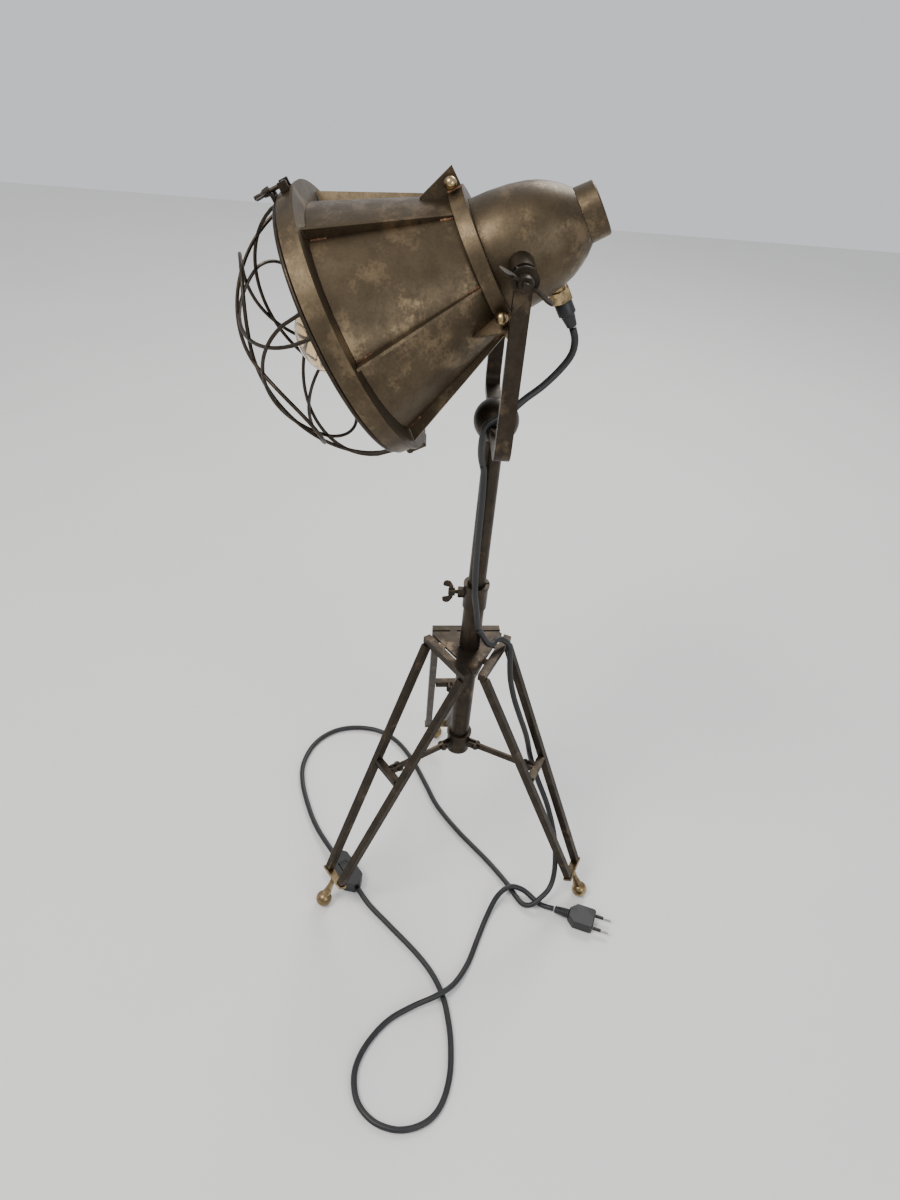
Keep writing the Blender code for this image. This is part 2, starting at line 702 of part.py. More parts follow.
def stay(index, azimuth, parent):
    """A flat bar from the hub to a leg's cross bar, with the rivet headed over at each end."""
    inner, outer = STAY_PIN_RADIUS, outer_pin_radius()
    radius = STAY_DEPTH / 2
    outline = arc((outer, 0.0), radius, -90.0, 90.0, CORNER_STEPS)
    outline += arc((inner, 0.0), radius, 90.0, 270.0, CORNER_STEPS)
    bar = plate(outline, STAY_THICKNESS)
    for place in (inner, outer):
        bar = joined(bar, rivet(), shift(place))
    place = turn("Z", azimuth) @ shift(z=STAY_HEIGHT) @ UPRIGHT
    part(f"stay_{index}", bar, place, aged_bronze(), parent)


def rivet():
    """A rivet along Z, centred on the origin, whose heads stand off both ears."""
    head_start = STAY_THICKNESS / 2 + EAR_THICKNESS + 2 * GAP
    end = head_start + RIVET_HEAD_HEIGHT
    return turned([
        (0.0, end), (RIVET_HEAD_RADIUS * 0.6, end), (RIVET_HEAD_RADIUS, head_start), (RIVET_RADIUS, head_start),
        (RIVET_RADIUS, -head_start), (RIVET_HEAD_RADIUS, -head_start), (RIVET_HEAD_RADIUS * 0.6, -end), (0.0, -end),
    ], SMALL_ROUND)


def side_tube(side):
    """One leg tube in the leg's frame, mitred under the top bar and above the foot plate."""
    top = LEG_TOP + Vector((0.0, side * LEG_TOP_HALF_SPREAD, 0.0))
    bottom = LEG_TOP + LEG_DIRECTION * LEG_FOOT_PLATE_ALONG
    bottom += Vector((0.0, side * LEG_FOOT_HALF_SPREAD, 0.0))
    run = bottom - top
    across = Vector((0.0, 1.0, 0.0))
    across = (across - across.project(run)).normalized()
    along = run.normalized()
    place = Matrix((across.cross(along), across, along)).transposed().to_4x4()
    place.translation = (top + bottom) / 2
    bar = box(LEG_BAR, LEG_BAR, run.length + 4 * LEG_BAR)
    bar.transform(place)
    slab = 0.1
    top_cut = shift(z=LEG_TOP.z - LEG_BAR / 2 - GAP + slab / 2)
    bar = cut(bar, box(slab * 2, slab * 2, slab), top_cut)
    plate_face = LEG_FOOT_PLATE_ALONG - FOOT_PLATE_THICKNESS / 2 - GAP
    return cut(bar, box(slab * 2, slab * 2, slab), leg_plane(plate_face + slab / 2))


def cross_bar_half_length():
    share = CROSS_BAR_ALONG / LEG_FOOT_PLATE_ALONG
    spread = LEG_TOP_HALF_SPREAD + (LEG_FOOT_HALF_SPREAD - LEG_TOP_HALF_SPREAD) * share
    return spread - LEG_BAR / 2 - 0.0009


def cross_bar_ear():
    """An ear on the cross bar's inner face that takes the stay's outer rivet."""
    radius = outer_pin_radius()
    half = STAY_DEPTH / 2
    root = cross_bar_centre().x - LEG_BAR / 2 + WELD
    outline = arc((radius, STAY_HEIGHT), half, 100.0, 260.0, CORNER_STEPS)
    outline += [(root, STAY_HEIGHT - half * 0.9), (root, STAY_HEIGHT + half * 0.9)]
    ear = plate(outline, EAR_THICKNESS)
    hole = cylinder(0.02, RIVET_RADIUS + BOLT_CLEARANCE)
    return cut(ear, hole, shift(radius, STAY_HEIGHT, -0.01))


def leg(index, azimuth, parent):
    leg_frame = frame(f"leg_{index}_frame", turn("Z", azimuth), parent)
    part(f"leg_{index}_left_tube", side_tube(-1), HERE, aged_bronze(), leg_frame)
    part(f"leg_{index}_right_tube", side_tube(1), HERE, aged_bronze(), leg_frame)
    cross_bar = box(LEG_BAR, 2 * cross_bar_half_length(), CROSS_BAR_HEIGHT)
    cross_bar.transform(Matrix.Translation(cross_bar_centre()))
    for side in (-1, 1):
        cross_bar = joined(cross_bar, cross_bar_ear(), ear_place(side))
    part(f"leg_{index}_cross_bar", cross_bar, HERE, aged_bronze(), leg_frame)
    leg_foot(index, leg_frame)


def leg_foot(index, parent):
    """The plate across a leg's end and the turned foot on it, flat where it meets the floor."""
    radius = FOOT_BALL_RADIUS
    plate_middle = LEG_LENGTH - LEG_FOOT_PLATE_ALONG
    start = plate_middle - FOOT_PLATE_THICKNESS / 2 + WELD
    join_angle = math.degrees(math.asin(FOOT_COLLAR_RADIUS / radius))
    profile = [(0.0, start), (FOOT_NECK_RADIUS, start), (FOOT_NECK_RADIUS, start * 0.62)]
    profile += [(FOOT_COLLAR_RADIUS, radius * math.cos(math.radians(join_angle)) + 0.003)]
    profile += [(y, x) for x, y in arc((0.0, 0.0), radius, join_angle, 180.0, 6)[:-1]]
    profile += [(0.0, -radius)]
    foot = turned(profile, 16)
    foot.transform(aim(FOOT_CENTRE, -LEG_DIRECTION))
    cross_plate = box(FOOT_PLATE_DEPTH, 2 * FOOT_PLATE_HALF_WIDTH, FOOT_PLATE_THICKNESS)
    foot = joined(foot, cross_plate, leg_plane(LEG_FOOT_PLATE_ALONG))
    foot = cut(foot, box(0.08, 0.08, 0.02), shift(FOOT_CENTRE.x, 0.0, -0.01))
    part(f"leg_{index}_foot", foot, HERE, brass(), parent)


def leg_plane(along):
    """A frame across the leg at a distance down it, with +Y kept level."""
    across = Vector((0.0, 1.0, 0.0))
    place = Matrix((across.cross(LEG_DIRECTION), across, LEG_DIRECTION)).transposed().to_4x4()
    place.translation = LEG_TOP + LEG_DIRECTION * along
    return place


# ---------------------------------------------------------------------------------------------
# Column and yoke
# ---------------------------------------------------------------------------------------------
def inner_tube(parent):
    radius = INNER_TUBE_RADIUS
    bore = radius - TUBE_WALL
    top = BALL_HEIGHT - BALL_RADIUS + BALL_SOCKET_DEPTH - GAP
    body = turned([(radius, top), (radius, INNER_TUBE_FOOT), (bore, INNER_TUBE_FOOT), (bore, top)])
    part("inner_tube", body, HERE, dark_bronze(), parent)


def yoke_outline(inset):
    """The U's path in the XZ plane, inset from its outer face."""
    half = YOKE_ARM_OUTSIDE - inset
    low = BALL_HEIGHT - YOKE_CROSS_HEIGHT / 2 + inset
    radius = YOKE_CORNER_RADIUS - inset
    top = PIVOT_HEIGHT + YOKE_TOP_OVERHANG
    left = arc((-half + radius, low + radius), radius, 180.0, 270.0, CORNER_STEPS)
    right = arc((half - radius, low + radius), radius, 270.0, 360.0, CORNER_STEPS)
    return [(-half, top), *left, *right, (half, top)]


def yoke(parent):
    outline = yoke_outline(0.0) + yoke_outline(YOKE_ARM_THICKNESS)[::-1]
    strap = plate(outline, YOKE_WIDTH)
    strap.transform(UPRIGHT)
    hole = cylinder(4 * PIVOT_BOLT_END, PIVOT_BOLT_RADIUS + BOLT_CLEARANCE)
    strap = cut(strap, hole, aim((-2 * PIVOT_BOLT_END, 0.0, PIVOT_HEIGHT), (1.0, 0.0, 0.0)))
    part("yoke", strap, HERE, dark_bronze(), parent)


def swivel_ball(parent):
    body = ball(BALL_RADIUS, 2 * BALL_RINGS)
    slot = box(4 * BALL_RADIUS, YOKE_WIDTH + 2 * GAP, YOKE_CROSS_HEIGHT + 2 * GAP)
    body = cut(body, slot)
    socket = cylinder(BALL_SOCKET_DEPTH * 2, INNER_TUBE_RADIUS + GAP, sides=ROUND)
    body = cut(body, socket, shift(z=-BALL_RADIUS - BALL_SOCKET_DEPTH))
    part("swivel_ball", body, shift(z=BALL_HEIGHT), dark_bronze(), parent)


def pivot_washer(name, side, parent):
    """A flat washer with the smaller collar that the wing nut turns on."""
    bore = PIVOT_BOLT_RADIUS + BOLT_CLEARANCE
    profile = [(bore, washer_stack())]
    height = washer_stack()
    for radius, thickness in reversed(list(zip(WASHER_RADII, WASHER_THICKNESSES))):
        profile += [(radius, height), (radius, height - thickness)]
        height -= thickness
    profile.append((bore, 0.0))
    place = aim((side * (YOKE_ARM_OUTSIDE + GAP), 0.0, PIVOT_HEIGHT), (side, 0.0, 0.0))
    part(name, turned(profile[1:] + profile[:1], SMALL_ROUND), place, dark_bronze(), parent)


def washer_stack():
    return sum(WASHER_THICKNESSES)


def pivot_wing_nut(name, side, parent):
    """A wing nut whose frame's X axis is the pivot's axis."""
    nut = wing_nut(YOKE_WING, PIVOT_BOLT_RADIUS + BOLT_CLEARANCE)
    seat = YOKE_ARM_OUTSIDE + GAP + washer_stack() + GAP
    place = turn("X", YOKE_WING_ANGLE) @ aim((side * seat, 0.0, 0.0), (side, 0.0, 0.0))
    part(name, nut, place @ turn("Z", 90.0), dark_bronze(), parent)


# ---------------------------------------------------------------------------------------------
# Head: everything below is in the head's frame, with +Z forwards and +Y up
# ---------------------------------------------------------------------------------------------
def front_ring(parent):
    inner = RING_RADIUS - RING_WALL
    flange = SHADE_FRONT_RADIUS - SHEET
    step = RING_REAR + RING_BEAD_WIDTH
    body = turned([
        (RING_RADIUS, RING_FRONT), (RING_RADIUS, step), (RING_BEAD_RADIUS, step),
        (RING_BEAD_RADIUS, RING_REAR), (flange, RING_REAR), (flange, step), (inner, step),
        (inner, RING_FRONT),
    ], SHELL_ROUND)
    part("front_ring", body, HERE, aged_bronze(), parent)


def shade(parent):
    """The cone and the six fins welded along it."""
    front, rear = shade_radius(SHADE_FRONT), shade_radius(SHADE_REAR)
    body = turned([
        (front, SHADE_FRONT), (rear, SHADE_REAR), (rear - SHEET, SHADE_REAR), (front - SHEET, SHADE_FRONT),
    ], SHELL_ROUND)
    tail = BAND_FRONT + GAP
    tip = SHADE_FRONT - GAP
    outline = [
        (shade_radius(tip) - WELD, tip), (FIN_FRONT_RADIUS, tip),
        (FIN_REAR_RADIUS, tail), (shade_radius(tail) - WELD, tail),
    ]
    for index in range(FIN_COUNT):
        place = turn("Z", index * 360.0 / FIN_COUNT) @ UPRIGHT
        body = joined(body, plate(outline, FIN_THICKNESS), place)
    part("shade", body, HERE, aged_bronze(), parent)


def rear_band(parent):
    """The band behind the shade, with the three gusset plates welded to it."""
    inner = BAND_RADIUS - BAND_WALL
    flange = DOME_OUTLINE[0][1] - 0.0025
    step = BAND_REAR + BAND_WALL
    body = turned([
        (BAND_RADIUS, BAND_FRONT), (BAND_RADIUS, BAND_REAR), (flange, BAND_REAR), (flange, step),
        (inner, step), (inner, BAND_FRONT),
    ], SHELL_ROUND)
    for angle in GUSSET_ANGLES:
        body = joined(body, gusset(), turn("Z", angle) @ UPRIGHT)
    part("rear_band", body, HERE, aged_bronze(), parent)


def gusset():
    tip = BAND_REAR + GUSSET_LENGTH
    foot = BAND_FRONT + 2 * GAP
    outline = [
        (shade_radius(tip) + GUSSET_TIP, tip), (shade_radius(tip) + GAP, tip),
        (shade_radius(foot) + GAP, foot), (BAND_RADIUS - WELD, foot),
        (BAND_RADIUS - WELD, BAND_REAR + GAP), (BAND_RADIUS + GUSSET_FOOT, BAND_REAR + GAP),
        (GUSSET_PEAK_RADIUS, BAND_REAR + 0.0008),
    ]
    sheet = plate(outline, GUSSET_THICKNESS)
    hole = cylinder(GUSSET_THICKNESS * 4, BALL_SCREW_NECK + BOLT_CLEARANCE)
    return cut(sheet, hole, shift(BALL_SCREW_RADIUS, BALL_SCREW_ALONG, -GUSSET_THICKNESS * 2))


def dome_housing(parent):
    outer = [(radius, along) for along, radius in DOME_OUTLINE]
    inner = [(radius - SHEET, along) for radius, along in outer]
    body = turned(outer + inner[::-1], ROUND)
    part("dome_housing", body, HERE, aged_bronze(), parent)


def dome_envelope():
    """The dome as a solid, a gap larger all round, that cuts what seats on it."""
    outer = [(radius + GAP, along) for along, radius in DOME_OUTLINE]
    return turned([(0.0, outer[0][1]), *outer, (0.0, outer[-1][1])], 2 * ROUND)


def rear_cap(parent):
    front = DOME_OUTLINE[-1][0] - GAP
    inner = CAP_RADIUS - SHEET
    body = turned([
        (inner, front), (CAP_RADIUS + 0.0006, front), (CAP_RADIUS, CAP_REAR + CAP_CHAMFER),
        (CAP_RADIUS - CAP_CHAMFER, CAP_REAR), (0.0, CAP_REAR), (0.0, CAP_REAR + SHEET),
        (inner, CAP_REAR + SHEET),
    ])
    part("rear_cap", body, HERE, aged_bronze(), parent)


def ball_screw(index, angle, parent):
    """A screw through a gusset with a ball on each end."""
    half = GUSSET_THICKNESS / 2 + BALL_SCREW_NECK_LENGTH
    screw = cylinder(2 * half + BALL_SCREW_BALL, BALL_SCREW_NECK, sides=10)
    screw.transform(shift(z=-half - BALL_SCREW_BALL / 2))
    for side in (-1, 1):
        screw = joined(screw, ball(BALL_SCREW_BALL, BALL_RINGS), shift(z=side * (half + BALL_SCREW_BALL * 0.8)))
    place = aim((BALL_SCREW_RADIUS, 0.0, BALL_SCREW_ALONG), (0.0, 1.0, 0.0))
    part(f"ball_screw_{index}", screw, turn("Z", angle) @ place, brass(), parent)


def pivot_stud(name, side, parent):
    """A boss on the dome's side, and the threaded bolt that runs from it through the yoke."""
    start = DOME_OUTLINE[1][1] - 0.009
    end = YOKE_ARM_INSIDE - GAP
    stud = cylinder(end - start, BOSS_RADIUS, sides=24)
    stud.transform(aim((side * start, 0.0, 0.0), (side, 0.0, 0.0)))
    stud = cut(stud, dome_envelope())
    bolt = cylinder(PIVOT_BOLT_END - end + WELD, PIVOT_BOLT_RADIUS)
    stud = joined(stud, bolt, aim((side * (end - WELD), 0.0, 0.0), (side, 0.0, 0.0)))
    part(name, stud, HERE, dark_bronze(), parent)


def gland(parent):
    start = DOME_OUTLINE[3][1] - 0.006
    neck = cylinder(GLAND_NECK_END - start, GLAND_NECK_RADIUS)
    neck.transform(aim((0.0, -start, GLAND_ALONG), (0.0, -1.0, 0.0)))
    neck = cut(neck, dome_envelope())
    nut = cylinder(GLAND_NUT_LENGTH, GLAND_NUT_FLAT / math.cos(math.radians(30.0)), sides=6)
    nut_start = GLAND_NECK_END - WELD
    neck = joined(neck, nut, aim((0.0, -nut_start, GLAND_ALONG), (0.0, -1.0, 0.0)))
    part("gland_nut", neck, HERE, brass(), parent)
    body_start = nut_start + GLAND_NUT_LENGTH + GAP
    radius, length = GLAND_BODY_RADIUS, GLAND_BODY_LENGTH
    body = turned([
        (0.0, length), (CORD_RADIUS + 0.0012, length), (radius * 0.80, length * 0.55), (radius, length * 0.50),
        (radius, length * 0.08), (radius * 0.85, 0.0), (0.0, 0.0),
    ], 16)
    place = aim((0.0, -body_start, GLAND_ALONG), (0.0, -1.0, 0.0))
    part("gland_body", body, place, black_rubber(), parent)


# ---------------------------------------------------------------------------------------------
# Lamp inside the head
# ---------------------------------------------------------------------------------------------
def lampholder(parent):
    radius, wall = HOLDER_RADIUS, HOLDER_WALL
    floor = BULB_CAP_REAR - GAP
    body = turned([
        (radius, HOLDER_FRONT), (radius, HOLDER_REAR + 0.012), (radius * 0.62, HOLDER_REAR),
        (0.0, HOLDER_REAR), (0.0, floor), (radius - wall, floor), (radius - wall, HOLDER_FRONT),
    ], 24)
    part("lampholder", body, HERE, black_plastic(), parent)
    length = HOLDER_REAR - GAP - (CAP_REAR + SHEET + GAP)
    stem = cylinder(length, STEM_RADIUS)
    part("lampholder_stem", stem, shift(z=CAP_REAR + SHEET + GAP), steel(), parent)


def bulb(parent):
    rear, front = BULB_CAP_REAR, BULB_CAP_REAR + BULB_CAP_LENGTH
    cap = turned([
        (0.0, front), (BULB_CAP_RADIUS, front), (BULB_CAP_RADIUS, rear + 0.005),
        (BULB_CAP_RADIUS * 0.4, rear), (0.0, rear),
    ], 20)
    part("bulb_cap", cap, HERE, brass(), parent)
    neck_start = front + GAP
    globe = [(BULB_RADIUS * math.sin(math.radians(a)), BULB_CENTRE + BULB_RADIUS * math.cos(math.radians(a)))
             for a in range(0, 151, 15)]
    neck = [(BULB_NECK_RADIUS + 0.0012, neck_start + 0.010), (BULB_NECK_RADIUS, neck_start)]
    outer = [(0.0, globe[0][1]), *globe[1:], *neck]
    inner = []
    for radius, along in outer:
        inner.append((max(0.0, radius - BULB_GLASS), along - (BULB_GLASS if radius < 0.02 < along - 0.15 else 0.0)))
    glass = turned(outer + inner[::-1], 18)
    part("bulb_glass", glass, HERE, amber_glass(), parent)
    top, low, half = BULB_CENTRE + 0.018, BULB_CENTRE - 0.012, 0.013
    points = [Vector((-half * 0.5, 0.0, neck_start)), Vector((-half, 0.0, low)), Vector((-half * 0.5, 0.0, top)),
              Vector((0.0, 0.0, low)), Vector((half * 0.5, 0.0, top)), Vector((half, 0.0, low)),
              Vector((half * 0.5, 0.0, neck_start))]
    part("filament", tube(smooth_path(points, 0.008), FILAMENT_RADIUS, roundness=0), HERE, brass(), parent)


# ---------------------------------------------------------------------------------------------
# Guard, its hinge and its latch
# ---------------------------------------------------------------------------------------------
def dome_height(radius):
    """The guard's height in front of its ring at a distance from the axis."""
    share = min(1.0, radius / CAGE_RADIUS)
    return CAGE_DEPTH * math.sqrt(max(0.0, 1.0 - share**2))


def petal():
    """One looped wire, with its tip on +X: it leaves the ring, passes the axis, turns and comes back."""
    root_angle = math.radians(180.0 - PETAL_ROOT_HALF_ANGLE)
    root = Vector((CAGE_RADIUS * math.cos(root_angle), CAGE_RADIUS * math.sin(root_angle), 0.0))
    centre = PETAL_TIP_RADIUS - PETAL_TIP_BEND
    bend = [Vector((x, y, 0.0)) for x, y in arc((centre, 0.0), PETAL_TIP_BEND, 80.0, 0.0, 4)]
    half = [root, root.lerp(bend[0], 0.3), root.lerp(bend[0], 0.65), *bend]
    flat = half + [Vector((place.x, -place.y, 0.0)) for place in half[-2::-1]]
    points = []
    for place in smooth_path(flat, PETAL_STEP):
        radius = min(place.length, CAGE_RADIUS)
        side = max(-1.0, min(1.0, place.y / PETAL_TIP_BEND))
        lift = CAGE_LAYER * side * min(1.0, (CAGE_RADIUS - radius) / 0.02)
        share = 1.0 + lift / CAGE_DEPTH
        points.append(Vector((place.x, place.y, CAGE_PLANE + dome_height(radius) * share)))
    return points


def cage(parent):
    """The guard: base ring, looped wires, hinge barrel and the slotted tab that the latch holds."""
    wire = CAGE_RING_WIRE
    sides = 6
    profile = []
    for index in range(sides):
        angle = -2 * math.pi * (index + 0.5) / sides
        profile.append((CAGE_RADIUS + wire * math.cos(angle), CAGE_PLANE + wire * math.sin(angle)))
    body = turned(profile, SHELL_ROUND)
    for index in range(CAGE_PETALS):
        place = turn("Z", PETAL_TURN + index * 360.0 / CAGE_PETALS)
        body = joined(body, tube(petal(), CAGE_WIRE, roundness=0), place)
    across = (1.0, 0.0, 0.0)
    middle = (-HINGE_MIDDLE / 2, -HINGE_RADIUS, HINGE_ALONG)
    body = joined(body, cylinder(HINGE_MIDDLE, HINGE_BARREL), aim(middle, across))
    arm = box(HINGE_MIDDLE * 0.8, HINGE_RADIUS - CAGE_RADIUS, wire)
    body = joined(body, arm, shift(0.0, -(HINGE_RADIUS + CAGE_RADIUS) / 2, HINGE_ALONG))
    pin_hole = cylinder(HINGE_MIDDLE * 3, HINGE_PIN + RUNNING)
    body = cut(body, pin_hole, aim((-HINGE_MIDDLE * 1.5, -HINGE_RADIUS, HINGE_ALONG), across))
    tab = box(LATCH_TAB_WIDTH, LATCH_TAB_TOP - CAGE_RADIUS, LATCH_TAB_THICKNESS)
    middle = LATCH_TAB_FRONT - LATCH_TAB_THICKNESS / 2
    body = joined(body, tab, shift(0.0, (LATCH_TAB_TOP + CAGE_RADIUS) / 2, middle))
    slot_half = LATCH_WING[0] + GAP
    slot = box(2 * slot_half, 0.02, 0.02)
    body = cut(body, slot, shift(0.0, LATCH_RADIUS - slot_half + 0.01, LATCH_TAB_FRONT))
    part("cage", body, HERE, dark_bronze(), parent)


def cage_hinge(parent):
    """Two barrels on the ring's lower edge, on one leaf, with the pin through all three."""
    reach = HINGE_MIDDLE / 2 + HINGE_SIDE_PLAY
    across = (1.0, 0.0, 0.0)
    pin_half = reach + HINGE_SIDE + 0.0006
    pieces = [(cylinder(2 * pin_half, HINGE_PIN), aim((-pin_half, -HINGE_RADIUS, HINGE_ALONG), across))]
    rear = RING_REAR + RING_BEAD_WIDTH + GAP
    front = HINGE_ALONG - HINGE_BARREL - HINGE_SIDE_PLAY
    low = RING_RADIUS + GAP
    high = HINGE_RADIUS + HINGE_BARREL * 0.8
    for side in (-1, 1):
        start = (side * reach, -HINGE_RADIUS, HINGE_ALONG)
        pieces.append((cylinder(HINGE_SIDE, HINGE_BARREL), aim(start, (side, 0.0, 0.0))))
        strap = box(HINGE_SIDE * 0.9, high - low - 2 * GAP, HINGE_ALONG - front + GAP)
        middle = (HINGE_ALONG + front) / 2 - GAP / 2
        pieces.append((strap, shift(side * (reach + HINGE_SIDE / 2), -(low + high) / 2 - GAP, middle)))
    leaf = box(2 * (reach + HINGE_SIDE), high - low, front - rear)
    pieces.insert(1, (leaf, shift(0.0, -(low + high) / 2, (front + rear) / 2)))
    leaf_first = [pieces[1], pieces[3], pieces[5], pieces[2], pieces[4], pieces[0]]
    part("cage_hinge", welded(leaf_first), HERE, dark_bronze(), parent)


def latch_clevis(parent):
    """Two lugs on top of the ring with the pin that the swing bolt turns on."""
    bottom = RING_RADIUS + GAP
    top = LATCH_RADIUS + LATCH_LUG_TOP
    across = (1.0, 0.0, 0.0)
    base = box(2 * LATCH_LUG_REACH, LATCH_BASE, LATCH_LUG_LENGTH)
    pieces = [(base, shift(0.0, bottom + LATCH_BASE / 2, LATCH_ALONG))]
    lug_width = LATCH_LUG_REACH - LATCH_EYE_HALF - GAP
    for side in (-1, 1):
        lug = box(lug_width - GAP, top - bottom - GAP, LATCH_LUG_LENGTH - 2 * GAP)
        middle = side * (LATCH_EYE_HALF + GAP + lug_width / 2)
        pieces.append((lug, shift(middle, (top + bottom + GAP) / 2, LATCH_ALONG)))
    pin = cylinder(2 * LATCH_LUG_REACH + 0.0008, LATCH_PIN)
    pieces.append((pin, aim((-LATCH_LUG_REACH - 0.0004, LATCH_RADIUS, LATCH_ALONG), across)))
    part("latch_clevis", welded(pieces), HERE, dark_bronze(), parent)


def latch_bolt(parent):
    """The swing bolt in its own frame: the pin at the origin and the rod along +Z."""
    eye = cylinder(2 * LATCH_EYE_HALF, LATCH_EYE_RADIUS)
    eye.transform(aim((-LATCH_EYE_HALF, 0.0, 0.0), (1.0, 0.0, 0.0)))
    rod = cylinder(LATCH_BOLT_END - LATCH_ALONG - 0.002, LATCH_BOLT_RADIUS)
    bolt = joined(eye, rod, shift(z=0.002))
    bolt = cut(bolt, cylinder(0.02, LATCH_PIN + RUNNING), aim((-0.01, 0.0, 0.0), (1.0, 0.0, 0.0)))
    part("latch_bolt", bolt, HERE, dark_bronze(), parent)


def latch_nut(parent):
    nut = wing_nut(LATCH_WING, LATCH_BOLT_RADIUS + BOLT_CLEARANCE)
    seat = LATCH_TAB_FRONT - LATCH_ALONG + GAP
    part("latch_nut", nut, shift(z=seat), dark_bronze(), parent)


# ---------------------------------------------------------------------------------------------
# Cord, switch and plug
# ---------------------------------------------------------------------------------------------
def cord(name, route, spacing, parent):
    points = smooth_path([Vector(place) for place in route], spacing)
    part(name, tube(points, CORD_RADIUS, roundness=1), HERE, black_rubber(), parent)


def end_of(route, last):
    """A route's end point and the direction in which the cord leaves it."""
    points = [Vector(place) for place in (route[::-1] if last else route)]
    return points[0], (points[0] - points[1]).normalized()


def switch_frame():
    start, _ = end_of(CORD_FLOOR, True)
    end, _ = end_of(CORD_TAIL, False)
    run = end - start
    heading = math.degrees(math.atan2(run.y, run.x))
    return Matrix.Translation((start + end) / 2) @ turn("Z", heading), run.length


def inline_switch(stand, parent_of_rocker):
    place, run = switch_frame()
    length = run - SWITCH_END_GAPS
    half, width = length / 2, SWITCH_WIDTH / 2
    outline = [(half, -0.0045), (half, 0.0045), (half - 0.010, width), (-half + 0.010, width),
               (-half, 0.0045), (-half, -0.0045), (-half + 0.010, -width), (half - 0.010, -width)]
    body = plate(outline, SWITCH_HEIGHT * 0.88)
    well = box(ROCKER_LENGTH + 4 * GAP, ROCKER_WIDTH + 4 * GAP, 0.010)
    body = cut(body, well, shift(z=SWITCH_HEIGHT / 2))
    part("switch_body", body, place, black_plastic(), stand)
    parent_of_rocker.matrix_basis = place @ shift(z=SWITCH_HEIGHT / 2 - 0.0022)
    rocker = plate([(-ROCKER_LENGTH / 2, 0.0012), (0.0, -0.0014), (ROCKER_LENGTH / 2, 0.0002),
                    (ROCKER_LENGTH / 2, 0.0018), (0.0, 0.0010), (-ROCKER_LENGTH / 2, 0.0034)], ROCKER_WIDTH)
    part("switch_rocker", rocker, UPRIGHT, black_plastic(), parent_of_rocker)


def plug_frame():
    """The plug lies flat, in line with the end of its cord."""
    start, _ = end_of(CORD_TAIL, True)
    return Matrix.Translation((start.x, start.y, PLUG_HALF_HEIGHT + GAP)) @ turn("Z", PLUG_HEADING)


def plug(parent):
    place = plug_frame()
    start, relief, width = PLUG_START, PLUG_RELIEF_LENGTH, PLUG_WIDTH
    end = relief + PLUG_BODY_LENGTH
    outline = [(relief, -PLUG_NECK_RADIUS), (relief + 0.008, -width), (end - 0.002, -width), (end, -width + 0.002),
               (end, width - 0.002), (end - 0.002, width), (relief + 0.008, width), (relief, PLUG_NECK_RADIUS)]
    body = plate(outline, 2 * PLUG_HALF_HEIGHT)
    neck = turned([(0.0, relief + WELD), (PLUG_NECK_RADIUS, relief + WELD), (CORD_RADIUS + WELD, start), (0.0, start)],
                  SMALL_ROUND)
    body = joined(body, neck, aim((0.0, 0.0, 0.0), (1.0, 0.0, 0.0)))
    part("plug", body, place, black_rubber(), parent)
    for name, side in (("plug_pin_left", 1), ("plug_pin_right", -1)):
        pin = cylinder(PIN_LENGTH, PIN_RADIUS)
        seat = aim((end + GAP, side * PIN_SPACING / 2, 0.0), (1.0, 0.0, 0.0))
        part(name, pin, place @ seat, steel(), parent)


# ---------------------------------------------------------------------------------------------
# The whole lamp
# ---------------------------------------------------------------------------------------------
def build_stand(stand):
    tripod = frame("tripod_frame", turn("Z", TRIPOD_TURN), stand)
    top_plate(tripod)
    outer_tube(stand)
    clamp_collar(stand)
    hub_collar(tripod)
    for index, azimuth in enumerate(LEG_AZIMUTHS, start=1):
        leg(index, azimuth, tripod)
        stay(index, azimuth, tripod)
    seat = (0.0, -INNER_TUBE_RADIUS - GAP, COLLAR_TOP - CLAMP_SCREW_DROP)
    clamp_screw(frame("clamp_screw_axis", aim(seat, (0.0, -1.0, 0.0)), stand))
    cord("cord_leg", CORD_LEG, CORD_FINE_SPACING, stand)
    cord("cord_floor", CORD_FLOOR, CORD_SPACING, stand)
    cord("cord_tail", CORD_TAIL, CORD_SPACING, stand)
    inline_switch(stand, frame("switch_rocker_axis", HERE, stand))
    plug(stand)


def build_column(lamp):
    mast = frame("mast_axis", HERE, lamp)
    inner_tube(mast)
    cord("cord_mast", CORD_MAST, CORD_SPACING, mast)
    swivel = frame("yoke_axis", HERE, mast)
    yoke(swivel)
    swivel_ball(swivel)
    pivot_washer("pivot_washer_right", 1, swivel)
    pivot_washer("pivot_washer_left", -1, swivel)
    cord("cord_swivel", CORD_SWIVEL, CORD_FINE_SPACING, swivel)
    cord("cord_head", CORD_HEAD, CORD_FINE_SPACING, swivel)
    return swivel


def build_head(yoke_frame):
    head = frame("head_axis", shift(z=PIVOT_HEIGHT) @ turn("X", 90.0 + HEAD_TILT), yoke_frame)
    for make in (front_ring, shade, rear_band, dome_housing, rear_cap, gland, lampholder, cage_hinge,
                 latch_clevis):
        make(head)
    for index, angle in enumerate(GUSSET_ANGLES, start=1):
        ball_screw(index, angle, head)
    pivot_stud("pivot_stud_right", 1, head)
    pivot_stud("pivot_stud_left", -1, head)
    bulb(frame("bulb_axis", HERE, head))
    cage(frame("cage_axis", HERE, head))
    pivot = frame("wing_nut_axis", HERE, head)
    pivot_wing_nut("wing_nut_right", 1, pivot)
    pivot_wing_nut("wing_nut_left", -1, pivot)
    latch = frame("latch_axis", shift(0.0, LATCH_RADIUS, LATCH_ALONG), head)
    latch_bolt(latch)
    latch_nut(latch)


